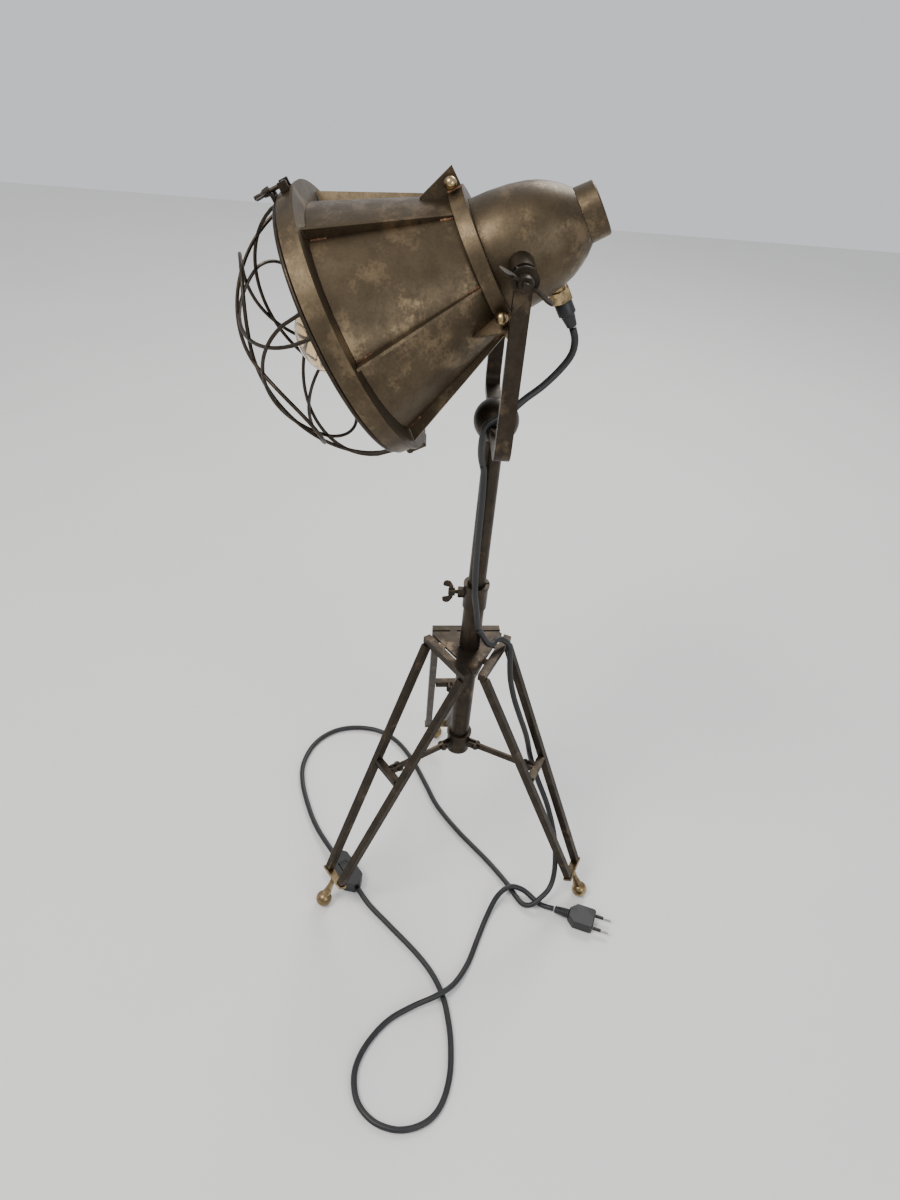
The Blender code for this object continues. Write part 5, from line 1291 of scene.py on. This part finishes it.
# %% Head sizes
HEAD_TILT = 29.2
SHEET = 0.0015
RING_RADIUS = 0.1165
RING_BEAD_RADIUS = 0.1184
RING_FRONT = 0.1560
RING_REAR = 0.1400
RING_WALL = 0.0028
RING_BEAD_WIDTH = 0.0030
SHADE_FRONT_RADIUS = 0.1000
SHADE_SLOPE = 0.4032
BAND_RADIUS = 0.0615
BAND_FRONT = 0.0340
BAND_REAR = 0.0220
BAND_WALL = 0.0025
BAND_LIP = 0.0025         # how far the band's flange reaches in past the dome's edge
FIN_COUNT = 6
FIN_THICKNESS = 0.0025
FIN_FRONT_RADIUS = 0.1120
FIN_REAR_RADIUS = 0.0607
DOME_OUTLINE = (           # (distance along the axis, radius), front to rear
    (0.0217, 0.0490), (0.0060, 0.0484), (-0.0110, 0.0463), (-0.0250, 0.0430), (-0.0340, 0.0397),
    (-0.0425, 0.0350), (-0.0500, 0.0296), (-0.0566, 0.0232),
)
CAP_RADIUS = 0.0220
CAP_REAR = -0.0735
CAP_CHAMFER = 0.0012
GUSSET_ANGLES = (90.0, -30.0, 210.0)
GUSSET_THICKNESS = 0.0020
GUSSET_LENGTH = 0.0340
GUSSET_PEAK_RADIUS = 0.0786
GUSSET_TIP = 0.0014
GUSSET_FOOT = 0.0030
BALL_SCREW_RADIUS = 0.0690
BALL_SCREW_ALONG = 0.0285
BALL_SCREW_BALL = 0.0052
BALL_SCREW_NECK = 0.0026
BALL_SCREW_NECK_LENGTH = 0.0042
BOSS_RADIUS = 0.0105
GLAND_ALONG = -0.0180
GLAND_NUT_FLAT = 0.0090
GLAND_NUT_LENGTH = 0.0100
GLAND_NECK_RADIUS = 0.0072
GLAND_NECK_END = 0.0478
GLAND_BODY_LENGTH = 0.0240
GLAND_BODY_RADIUS = 0.0078
HOLDER_RADIUS = 0.0195
HOLDER_REAR = 0.0500
HOLDER_FRONT = 0.1100
HOLDER_WALL = 0.0022
STEM_RADIUS = 0.0050
BULB_RADIUS = 0.0400
BULB_CENTRE = 0.1635
BULB_NECK_RADIUS = 0.0135
BULB_CAP_REAR = 0.0865
BULB_CAP_LENGTH = 0.0265
BULB_CAP_RADIUS = 0.0132
BULB_GLASS = 0.0009
BULB_CROWN_RADIUS = 0.0200   # the glass is also thick along the axis inside this radius
BULB_CROWN_ALONG = 0.1700    # and in front of this
FILAMENT_RADIUS = 0.0006
SHADE_FRONT = RING_REAR - GAP
SHADE_REAR = BAND_REAR + BAND_WALL + GAP


def shade_radius(along):
    """Outer radius of the shade's cone at a distance along the head's axis."""
    return SHADE_FRONT_RADIUS - SHADE_SLOPE * (SHADE_FRONT - along)


HEAD = MAST @ shift(z=PIVOT_HEIGHT) @ turn("X", 90.0 + HEAD_TILT)
print("the head points along", tuple(round(value, 3) for value in HEAD.to_3x3() @ Vector((0.0, 0.0, 1.0))))

# %% Head shell
def front_ring(parent):
    inner = RING_RADIUS - RING_WALL
    flange = SHADE_FRONT_RADIUS - SHEET
    step = RING_REAR + RING_BEAD_WIDTH
    body = turned([
        (RING_RADIUS, RING_FRONT), (RING_RADIUS, step), (RING_BEAD_RADIUS, step),
        (RING_BEAD_RADIUS, RING_REAR), (flange, RING_REAR), (flange, step), (inner, step),
        (inner, RING_FRONT),
    ], SHELL_ROUND)
    part("front_ring", body, HERE, finish_of("aged_bronze"), parent)


def shade(parent):
    """The cone and the six fins welded along it."""
    front, rear = shade_radius(SHADE_FRONT), shade_radius(SHADE_REAR)
    body = turned([
        (front, SHADE_FRONT), (rear, SHADE_REAR), (rear - SHEET, SHADE_REAR), (front - SHEET, SHADE_FRONT),
    ], SHELL_ROUND)
    tail = BAND_FRONT + GAP
    tip = SHADE_FRONT - GAP
    outline = [
        (shade_radius(tip) - WELD, tip), (FIN_FRONT_RADIUS, tip),
        (FIN_REAR_RADIUS, tail), (shade_radius(tail) - WELD, tail),
    ]
    for index in range(FIN_COUNT):
        place = turn("Z", index * 360.0 / FIN_COUNT) @ UPRIGHT
        body = joined(body, plate(outline, FIN_THICKNESS), place)
    part("shade", body, HERE, finish_of("aged_bronze"), parent)


def rear_band(parent):
    """The band behind the shade, with the three gusset plates welded to it."""
    inner = BAND_RADIUS - BAND_WALL
    flange = DOME_OUTLINE[0][1] - BAND_LIP
    step = BAND_REAR + BAND_WALL
    body = turned([
        (BAND_RADIUS, BAND_FRONT), (BAND_RADIUS, BAND_REAR), (flange, BAND_REAR), (flange, step),
        (inner, step), (inner, BAND_FRONT),
    ], SHELL_ROUND)
    for angle in GUSSET_ANGLES:
        body = joined(body, gusset(), turn("Z", angle) @ UPRIGHT)
    part("rear_band", body, HERE, finish_of("aged_bronze"), parent)


def gusset():
    tip = BAND_REAR + GUSSET_LENGTH
    foot = BAND_FRONT + 2 * GAP
    outline = [
        (shade_radius(tip) + GUSSET_TIP, tip), (shade_radius(tip) + GAP, tip),
        (shade_radius(foot) + GAP, foot), (BAND_RADIUS - WELD, foot),
        (BAND_RADIUS - WELD, BAND_REAR + GAP), (BAND_RADIUS + GUSSET_FOOT, BAND_REAR + GAP),
        (GUSSET_PEAK_RADIUS, BAND_REAR + 0.0008),
    ]
    sheet = plate(outline, GUSSET_THICKNESS)
    hole = cylinder(GUSSET_THICKNESS * 4, BALL_SCREW_NECK + BOLT_CLEARANCE)
    return cut(sheet, hole, shift(BALL_SCREW_RADIUS, BALL_SCREW_ALONG, -GUSSET_THICKNESS * 2))


def dome_housing(parent):
    outer = [(radius, along) for along, radius in DOME_OUTLINE]
    inner = [(radius - SHEET, along) for radius, along in outer]
    body = turned(outer + inner[::-1], ROUND)
    part("dome_housing", body, HERE, finish_of("aged_bronze"), parent)


def dome_envelope():
    """The dome as a solid, a gap larger all round, that cuts what seats on it."""
    outer = [(radius + GAP, along) for along, radius in DOME_OUTLINE]
    return turned([(0.0, outer[0][1]), *outer, (0.0, outer[-1][1])], 2 * ROUND)


def rear_cap(parent):
    front = DOME_OUTLINE[-1][0] - GAP
    inner = CAP_RADIUS - SHEET
    body = turned([
        (inner, front), (CAP_RADIUS + 0.0006, front), (CAP_RADIUS, CAP_REAR + CAP_CHAMFER),
        (CAP_RADIUS - CAP_CHAMFER, CAP_REAR), (0.0, CAP_REAR), (0.0, CAP_REAR + SHEET),
        (inner, CAP_REAR + SHEET),
    ])
    part("rear_cap", body, HERE, finish_of("aged_bronze"), parent)


def ball_screw(index, angle, parent):
    """A screw through a gusset with a ball on each end."""
    half = GUSSET_THICKNESS / 2 + BALL_SCREW_NECK_LENGTH
    screw = cylinder(2 * half + BALL_SCREW_BALL, BALL_SCREW_NECK, sides=10)
    screw.transform(shift(z=-half - BALL_SCREW_BALL / 2))
    for side in (-1, 1):
        end = shift(z=side * (half + BALL_SCREW_BALL * 0.8))
        screw = joined(screw, ball(BALL_SCREW_BALL, BALL_RINGS), end)
    place = aim((BALL_SCREW_RADIUS, 0.0, BALL_SCREW_ALONG), (0.0, 1.0, 0.0))
    part(f"ball_screw_{index}", screw, turn("Z", angle) @ place, finish_of("brass"), parent)


def pivot_stud(name, side, parent):
    """A boss on the dome's side, and the threaded bolt that runs from it through the yoke."""
    start = DOME_OUTLINE[1][1] - 0.009
    end = YOKE_ARM_INSIDE - GAP
    stud = cylinder(end - start, BOSS_RADIUS, sides=24)
    stud.transform(aim((side * start, 0.0, 0.0), (side, 0.0, 0.0)))
    stud = cut(stud, dome_envelope())
    bolt = cylinder(PIVOT_BOLT_END - end + WELD, PIVOT_BOLT_RADIUS)
    stud = joined(stud, bolt, aim((side * (end - WELD), 0.0, 0.0), (side, 0.0, 0.0)))
    part(name, stud, HERE, finish_of("dark_bronze"), parent)


def gland(parent):
    start = DOME_OUTLINE[3][1] - 0.006
    neck = cylinder(GLAND_NECK_END - start, GLAND_NECK_RADIUS)
    neck.transform(aim((0.0, -start, GLAND_ALONG), (0.0, -1.0, 0.0)))
    neck = cut(neck, dome_envelope())
    nut = cylinder(GLAND_NUT_LENGTH, GLAND_NUT_FLAT / math.cos(math.radians(30.0)), sides=6)
    nut_start = GLAND_NECK_END - WELD
    neck = joined(neck, nut, aim((0.0, -nut_start, GLAND_ALONG), (0.0, -1.0, 0.0)))
    part("gland_nut", neck, HERE, finish_of("brass"), parent)
    body_start = nut_start + GLAND_NUT_LENGTH + GAP
    radius, length = GLAND_BODY_RADIUS, GLAND_BODY_LENGTH
    body = turned([
        (0.0, length), (CORD_RADIUS + 0.0012, length), (radius * 0.80, length * 0.55),
        (radius, length * 0.50), (radius, length * 0.08), (radius * 0.85, 0.0), (0.0, 0.0),
    ], ROUND)
    place = aim((0.0, -body_start, GLAND_ALONG), (0.0, -1.0, 0.0))
    part("gland_body", body, place, finish_of("black_rubber"), parent)


for make in (front_ring, shade, rear_band, dome_housing, rear_cap, gland):
    make(HEAD)
for screw_index, screw_angle in enumerate(GUSSET_ANGLES, start=1):
    ball_screw(screw_index, screw_angle, HEAD)
pivot_stud("pivot_stud_right", 1, HEAD)
pivot_stud("pivot_stud_left", -1, HEAD)
pivot_wing_nut("wing_nut_right", 1, HEAD)
pivot_wing_nut("wing_nut_left", -1, HEAD)
print("head shell ready")

# %% [markdown]
# The fins and gussets are welded on, and the welds are left as they were made: browned by the heat, in short
# rows of overlapping beads along each root.

# %% Welds
WELD_BEAD = 0.0013
WELD_PITCH = 0.0013
WELD_STANDOFF = 0.0002      # from a plate's face to its row of beads


def weld_row(name, radius_at, start, end, side, count, turned_by):
    """Beads along the foot of a plate that stands on the shell."""
    points = [Vector((radius_at(along), side, along)) for along in (start, (start + end) / 2, end)]
    BEADS.run(name, line_of(points), HEAD, finish_of("weld_scale"), "head",
              Count=count, Turn=turned_by, Bead=WELD_BEAD, Pitch=WELD_PITCH)


fin_side = FIN_THICKNESS / 2 + WELD_STANDOFF
for side_name, side in (("left", -fin_side), ("right", fin_side)):
    weld_row(f"fin_welds_front_{side_name}", shade_radius, SHADE_FRONT - 0.012, SHADE_FRONT - 0.002,
             side, FIN_COUNT, 0.0)
    weld_row(f"fin_welds_rear_{side_name}", shade_radius, BAND_FRONT + 0.002, BAND_FRONT + 0.010,
             side, FIN_COUNT, 0.0)
gusset_side = GUSSET_THICKNESS / 2 + WELD_STANDOFF
for side_name, side in (("left", -gusset_side), ("right", gusset_side)):
    weld_row(f"gusset_welds_{side_name}", lambda _: BAND_RADIUS, BAND_REAR + 0.001, BAND_FRONT - 0.001,
             side, len(GUSSET_ANGLES), math.radians(GUSSET_ANGLES[0]))
print("welds ready")

# %% [markdown]
# Threads show where a nut has room to travel: on the pivot bolts beyond the wing nuts and on the latch bolt.
# At this size a row of fine rings reads as a thread, and it is far lighter than a cut helix.

# %% Threads
THREAD_PITCH = 0.0008
THREAD_RIDGE = 0.00022
THREAD_END = 0.0006         # left plain at a bolt's end


def thread(name, place, radius, length, body):
    count = int(length / THREAD_PITCH)
    rings(name, place, finish_of("dark_bronze"), body, Count=count, Pitch=THREAD_PITCH,
          Radius=radius - THREAD_RIDGE / 2, Ridge=THREAD_RIDGE, End_scale=1.0)


thread_start = YOKE_ARM_OUTSIDE + washer_stack() + YOKE_WING[1]
for name, side in (("pivot_thread_right", 1), ("pivot_thread_left", -1)):
    place = HEAD @ aim((side * thread_start, 0.0, 0.0), (side, 0.0, 0.0))
    thread(name, place, PIVOT_BOLT_RADIUS, PIVOT_BOLT_END - thread_start - THREAD_END, "head")
print("pivot threads ready")

# %% [markdown]
# Inside the head a black holder takes a round bulb with a screw cap. The glass has a real thickness, so that
# it bends what is seen through it, and the filament is a plain zigzag.

# %% Lampholder and bulb
def lampholder(parent):
    radius, wall = HOLDER_RADIUS, HOLDER_WALL
    floor = BULB_CAP_REAR - GAP
    body = turned([
        (radius, HOLDER_FRONT), (radius, HOLDER_REAR + 0.012), (radius * 0.62, HOLDER_REAR),
        (0.0, HOLDER_REAR), (0.0, floor), (radius - wall, floor), (radius - wall, HOLDER_FRONT),
    ], ROUND)
    part("lampholder", body, HERE, finish_of("black_plastic"), parent)
    length = HOLDER_REAR - GAP - (CAP_REAR + SHEET + GAP)
    stem = cylinder(length, STEM_RADIUS)
    part("lampholder_stem", stem, shift(z=CAP_REAR + SHEET + GAP), finish_of("steel"), parent)


def bulb(parent):
    rear, front = BULB_CAP_REAR, BULB_CAP_REAR + BULB_CAP_LENGTH
    cap = turned([
        (0.0, front), (BULB_CAP_RADIUS, front), (BULB_CAP_RADIUS, rear + 0.005),
        (BULB_CAP_RADIUS * 0.4, rear), (0.0, rear),
    ], ROUND)
    part("bulb_cap", cap, HERE, finish_of("brass"), parent)
    neck_start = front + GAP
    globe = []
    for degrees in range(0, 151, 3):
        angle = math.radians(degrees)
        globe.append((BULB_RADIUS * math.sin(angle), BULB_CENTRE + BULB_RADIUS * math.cos(angle)))
    neck = [(BULB_NECK_RADIUS + 0.0012, neck_start + 0.010), (BULB_NECK_RADIUS, neck_start)]
    outer = [(0.0, globe[0][1]), *globe[1:], *neck]
    inner = []
    for radius, along in outer:
        crown = radius < BULB_CROWN_RADIUS and along > BULB_CROWN_ALONG
        inner.append((max(0.0, radius - BULB_GLASS), along - (BULB_GLASS if crown else 0.0)))
    glass = turned(outer + inner[::-1], ROUND)
    part("bulb_glass", glass, HERE, finish_of("amber_glass"), parent)
    top, low, half = BULB_CENTRE + 0.018, BULB_CENTRE - 0.012, 0.013
    bends = ((-half * 0.5, neck_start), (-half, low), (-half * 0.5, top), (0.0, low),
             (half * 0.5, top), (half, low), (half * 0.5, neck_start))
    points = [Vector((across, 0.0, along)) for across, along in bends]
    wire = tube(smooth_path(points, 0.002), FILAMENT_RADIUS)
    part("filament", wire, HERE, finish_of("filament_metal"), parent)


lampholder(HEAD)
bulb(HEAD)
cap_place = HEAD @ shift(z=BULB_CAP_REAR + 0.006)
rings("bulb_cap_thread", cap_place, finish_of("brass"), "bulb",
      Count=6, Pitch=0.0030, Radius=BULB_CAP_RADIUS - 0.0002, Ridge=0.0007, End_scale=1.0)
print("bulb ready")

# %% [markdown]
# The guard is four long loops of wire on a ring, each a quarter turn past the next, so that they cross over
# the bulb like petals. One loop is drawn as a line, and the tree makes it round and repeats it.

# %% Guard
CAGE_PLANE = 0.1588
CAGE_RADIUS = 0.1125
CAGE_DEPTH = 0.0820
CAGE_WIRE = 0.0016
CAGE_RING_WIRE = 0.0022
CAGE_PETALS = 4
PETAL_TURN = -22.0
PETAL_TIP_RADIUS = 0.0970   # from the axis to a loop's tip
PETAL_TIP_BEND = 0.0470     # radius of the bend at the tip
PETAL_ROOT_HALF_ANGLE = 40.0
PETAL_STEP = 0.0030
CAGE_LAYER = 0.0010         # half the step between the two layers of wires
HINGE_RADIUS = 0.1245
HINGE_ALONG = 0.1588
HINGE_BARREL = 0.0034
HINGE_PIN = 0.0015
HINGE_MIDDLE = 0.0100       # length of the guard's barrel
HINGE_SIDE = 0.0060         # length of each barrel on the ring
HINGE_SIDE_PLAY = 0.0004
LATCH_RADIUS = 0.1216
LATCH_ALONG = 0.1480
LATCH_BOLT_RADIUS = 0.0018
LATCH_BOLT_END = 0.1745
LATCH_TAB_FRONT = 0.1605
LATCH_TAB_THICKNESS = 0.0026
LATCH_TAB_WIDTH = 0.0156
LATCH_TAB_TOP = 0.1203
LATCH_LUG_TOP = 0.0030
LATCH_LUG_REACH = 0.0062
LATCH_LUG_LENGTH = 0.0080
LATCH_BASE = 0.0016
LATCH_EYE_HALF = 0.0032
LATCH_EYE_RADIUS = 0.0027
LATCH_PIN = 0.0012


def dome_height(radius):
    """The guard's height in front of its ring at a distance from the axis."""
    share = min(1.0, radius / CAGE_RADIUS)
    return CAGE_DEPTH * math.sqrt(max(0.0, 1.0 - share**2))


def petal():
    """One looped wire, with its tip on +X: it leaves the ring, passes the axis, turns and comes back."""
    root_angle = math.radians(180.0 - PETAL_ROOT_HALF_ANGLE)
    root = Vector((CAGE_RADIUS * math.cos(root_angle), CAGE_RADIUS * math.sin(root_angle), 0.0))
    centre = PETAL_TIP_RADIUS - PETAL_TIP_BEND
    bend = [Vector((x, y, 0.0)) for x, y in arc((centre, 0.0), PETAL_TIP_BEND, 80.0, 0.0, 4)]
    half = [root, root.lerp(bend[0], 0.3), root.lerp(bend[0], 0.65), *bend]
    flat = half + [Vector((place.x, -place.y, 0.0)) for place in half[-2::-1]]
    points = []
    for place in smooth_path(flat, PETAL_STEP):
        radius = min(place.length, CAGE_RADIUS)
        side = max(-1.0, min(1.0, place.y / PETAL_TIP_BEND))
        lift = CAGE_LAYER * side * min(1.0, (CAGE_RADIUS - radius) / 0.02)
        share = 1.0 + lift / CAGE_DEPTH
        points.append(Vector((place.x, place.y, CAGE_PLANE + dome_height(radius) * share)))
    return points


loop = line_of(petal())
BODY_OF_GUARD = BODY_OF["cage"]
WIRES.run("guard_wires", loop, HEAD, finish_of("dark_bronze"), BODY_OF_GUARD, ["cage"],
          Count=CAGE_PETALS, Turn=math.radians(PETAL_TURN), Wire=CAGE_WIRE, Ring=CAGE_RADIUS,
          Ring_wire=CAGE_RING_WIRE, Ring_height=CAGE_PLANE)

# %% Guard fittings, hinge and latch
def guard_fittings(parent):
    """The guard's own hinge barrel, and the slotted tab that the latch holds."""
    across = (1.0, 0.0, 0.0)
    wire = CAGE_RING_WIRE
    barrel = cylinder(HINGE_MIDDLE, HINGE_BARREL)
    barrel.transform(aim((-HINGE_MIDDLE / 2, -HINGE_RADIUS, HINGE_ALONG), across))
    arm = box(HINGE_MIDDLE * 0.8, HINGE_RADIUS - CAGE_RADIUS, wire)
    barrel = joined(barrel, arm, shift(0.0, -(HINGE_RADIUS + CAGE_RADIUS) / 2, HINGE_ALONG))
    pin_hole = cylinder(HINGE_MIDDLE * 3, HINGE_PIN + RUNNING)
    barrel = cut(barrel, pin_hole, aim((-HINGE_MIDDLE * 1.5, -HINGE_RADIUS, HINGE_ALONG), across))
    barrel.transform(parent)
    set_down("guard_barrel", barrel, finish_of("dark_bronze"), BODY_OF_GUARD)
    tab = box(LATCH_TAB_WIDTH, LATCH_TAB_TOP - CAGE_RADIUS, LATCH_TAB_THICKNESS)
    tab.transform(shift(0.0, (LATCH_TAB_TOP + CAGE_RADIUS) / 2, LATCH_TAB_FRONT - LATCH_TAB_THICKNESS / 2))
    slot_half = LATCH_WING[0] + GAP
    slot = box(2 * slot_half, 0.02, 0.02)
    tab = cut(tab, slot, shift(0.0, LATCH_RADIUS - slot_half + 0.01, LATCH_TAB_FRONT))
    tab.transform(parent)
    set_down("guard_tab", tab, finish_of("dark_bronze"), BODY_OF_GUARD)


def cage_hinge(parent):
    """Two barrels on the ring's lower edge, on one leaf, with the pin through all three."""
    reach = HINGE_MIDDLE / 2 + HINGE_SIDE_PLAY
    across = (1.0, 0.0, 0.0)
    pin_half = reach + HINGE_SIDE + 0.0006
    rear = RING_REAR + RING_BEAD_WIDTH + GAP
    front = HINGE_ALONG - HINGE_BARREL - HINGE_SIDE_PLAY
    low = RING_RADIUS + GAP
    high = HINGE_RADIUS + HINGE_BARREL * 0.8
    leaf = box(2 * (reach + HINGE_SIDE), high - low, front - rear)
    straps, barrels = [], []
    for side in (-1, 1):
        strap = box(HINGE_SIDE * 0.9, high - low - 2 * GAP, HINGE_ALONG - front + GAP)
        middle = (HINGE_ALONG + front) / 2 - GAP / 2
        straps.append((strap, shift(side * (reach + HINGE_SIDE / 2), -(low + high) / 2 - GAP, middle)))
        start = (side * reach, -HINGE_RADIUS, HINGE_ALONG)
        barrels.append((cylinder(HINGE_SIDE, HINGE_BARREL), aim(start, (side, 0.0, 0.0))))
    pin = cylinder(2 * pin_half, HINGE_PIN)
    pieces = [
        (leaf, shift(0.0, -(low + high) / 2, (front + rear) / 2)), *straps, *barrels,
        (pin, aim((-pin_half, -HINGE_RADIUS, HINGE_ALONG), across)),
    ]
    part("cage_hinge", welded(pieces), HERE, finish_of("dark_bronze"), parent)


def latch_clevis(parent):
    """Two lugs on top of the ring with the pin that the swing bolt turns on."""
    bottom = RING_RADIUS + GAP
    top = LATCH_RADIUS + LATCH_LUG_TOP
    across = (1.0, 0.0, 0.0)
    base = box(2 * LATCH_LUG_REACH, LATCH_BASE, LATCH_LUG_LENGTH)
    pieces = [(base, shift(0.0, bottom + LATCH_BASE / 2, LATCH_ALONG))]
    lug_width = LATCH_LUG_REACH - LATCH_EYE_HALF - GAP
    for side in (-1, 1):
        lug = box(lug_width - GAP, top - bottom - GAP, LATCH_LUG_LENGTH - 2 * GAP)
        middle = side * (LATCH_EYE_HALF + GAP + lug_width / 2)
        pieces.append((lug, shift(middle, (top + bottom + GAP) / 2, LATCH_ALONG)))
    pin = cylinder(2 * LATCH_LUG_REACH + 0.0008, LATCH_PIN)
    pieces.append((pin, aim((-LATCH_LUG_REACH - 0.0004, LATCH_RADIUS, LATCH_ALONG), across)))
    part("latch_clevis", welded(pieces), HERE, finish_of("dark_bronze"), parent)


def latch_bolt(parent):
    """The swing bolt in its own frame: the pin at the origin and the rod along +Z."""
    eye = cylinder(2 * LATCH_EYE_HALF, LATCH_EYE_RADIUS)
    eye.transform(aim((-LATCH_EYE_HALF, 0.0, 0.0), (1.0, 0.0, 0.0)))
    rod = cylinder(LATCH_BOLT_END - LATCH_ALONG - 0.002, LATCH_BOLT_RADIUS)
    bolt = joined(eye, rod, shift(z=0.002))
    bolt = cut(bolt, cylinder(0.02, LATCH_PIN + RUNNING), aim((-0.01, 0.0, 0.0), (1.0, 0.0, 0.0)))
    part("latch_bolt", bolt, HERE, finish_of("dark_bronze"), parent)


def latch_nut(parent):
    nut = wing_nut(LATCH_WING, LATCH_BOLT_RADIUS + BOLT_CLEARANCE)
    seat = LATCH_TAB_FRONT - LATCH_ALONG + GAP
    part("latch_nut", nut, shift(z=seat), finish_of("dark_bronze"), parent)


guard_fittings(HEAD)
cage_hinge(HEAD)
latch_clevis(HEAD)
latch_seat = HEAD @ shift(0.0, LATCH_RADIUS, LATCH_ALONG)
latch_bolt(latch_seat)
latch_nut(latch_seat)
nut_top = LATCH_TAB_FRONT + GAP + LATCH_WING[1]
thread_place = HEAD @ shift(0.0, LATCH_RADIUS, nut_top)
thread("latch_thread", thread_place, LATCH_BOLT_RADIUS, LATCH_BOLT_END - nut_top - THREAD_END, "latch")
print("guard fittings ready")

# %% [markdown]
# The solids that are shown as they are take the same finishes as their neighbours.

# %% Finishes of the solids left as they are
left = []
for name, node in frame["nodes"].items():
    if not node.hide_render:
        left.append(name)
        for material_slot in node.material_slots:
            material_slot.material = finish_of(SLOT_OF[name])
        if not node.material_slots:
            node.data.materials.append(finish_of(SLOT_OF[name]))
print("kept as solids", left)

# %% [markdown]
# The room is a flat pale floor with three soft lights, key, fill and back, and a pale sky that fills the
# shadows.

# %% Floor and light
FLOOR_SIZE = 6.0
FLOOR_DROP = 0.0004


def floor():
    finish = Finish("floor")
    cloud = finish.noise(3.0, 2.0)
    paint = finish.mixed(cloud, (0.70, 0.69, 0.67, 1.0), (0.75, 0.74, 0.72, 1.0))
    finish.shade(Base_Color=paint, Roughness=0.55 + cloud * 0.1)
    mesh = box(FLOOR_SIZE, FLOOR_SIZE, 0.02)
    mesh.transform(shift(z=-0.01 - FLOOR_DROP))
    mesh.materials.append(finish.material)
    slab = bpy.data.objects.new("floor", mesh)
    bpy.context.scene.collection.objects.link(slab)


def soft_light(name, place, target, size, power, colour):
    data = bpy.data.lights.new(name, "AREA")
    data.shape = "DISK"
    data.size = size
    data.energy = power
    data.color = colour
    light = bpy.data.objects.new(name, data)
    bpy.context.scene.collection.objects.link(light)
    light.matrix_world = aim(place, Vector(place) - Vector(target))


floor()
middle = MAST.translation + Vector((0.0, 0.0, 0.45))
soft_light("key", (0.9, -1.2, 2.4), middle, 1.1, 46.0, (1.0, 0.97, 0.93))
soft_light("fill", (1.9, 1.4, 1.5), middle, 1.4, 20.0, (0.94, 0.97, 1.0))
soft_light("back", (-1.6, 0.6, 1.9), middle, 0.9, 26.0, (1.0, 0.98, 0.95))
world = bpy.data.worlds.new("room")
world.use_nodes = True
world.node_tree.nodes["Background"].inputs["Color"].default_value = (0.93, 0.95, 1.0, 1.0)
world.node_tree.nodes["Background"].inputs["Strength"].default_value = 0.80
bpy.context.scene.world = world
print("lights", 3)

# %% The scene brought up to date
bpy.context.view_layer.update()
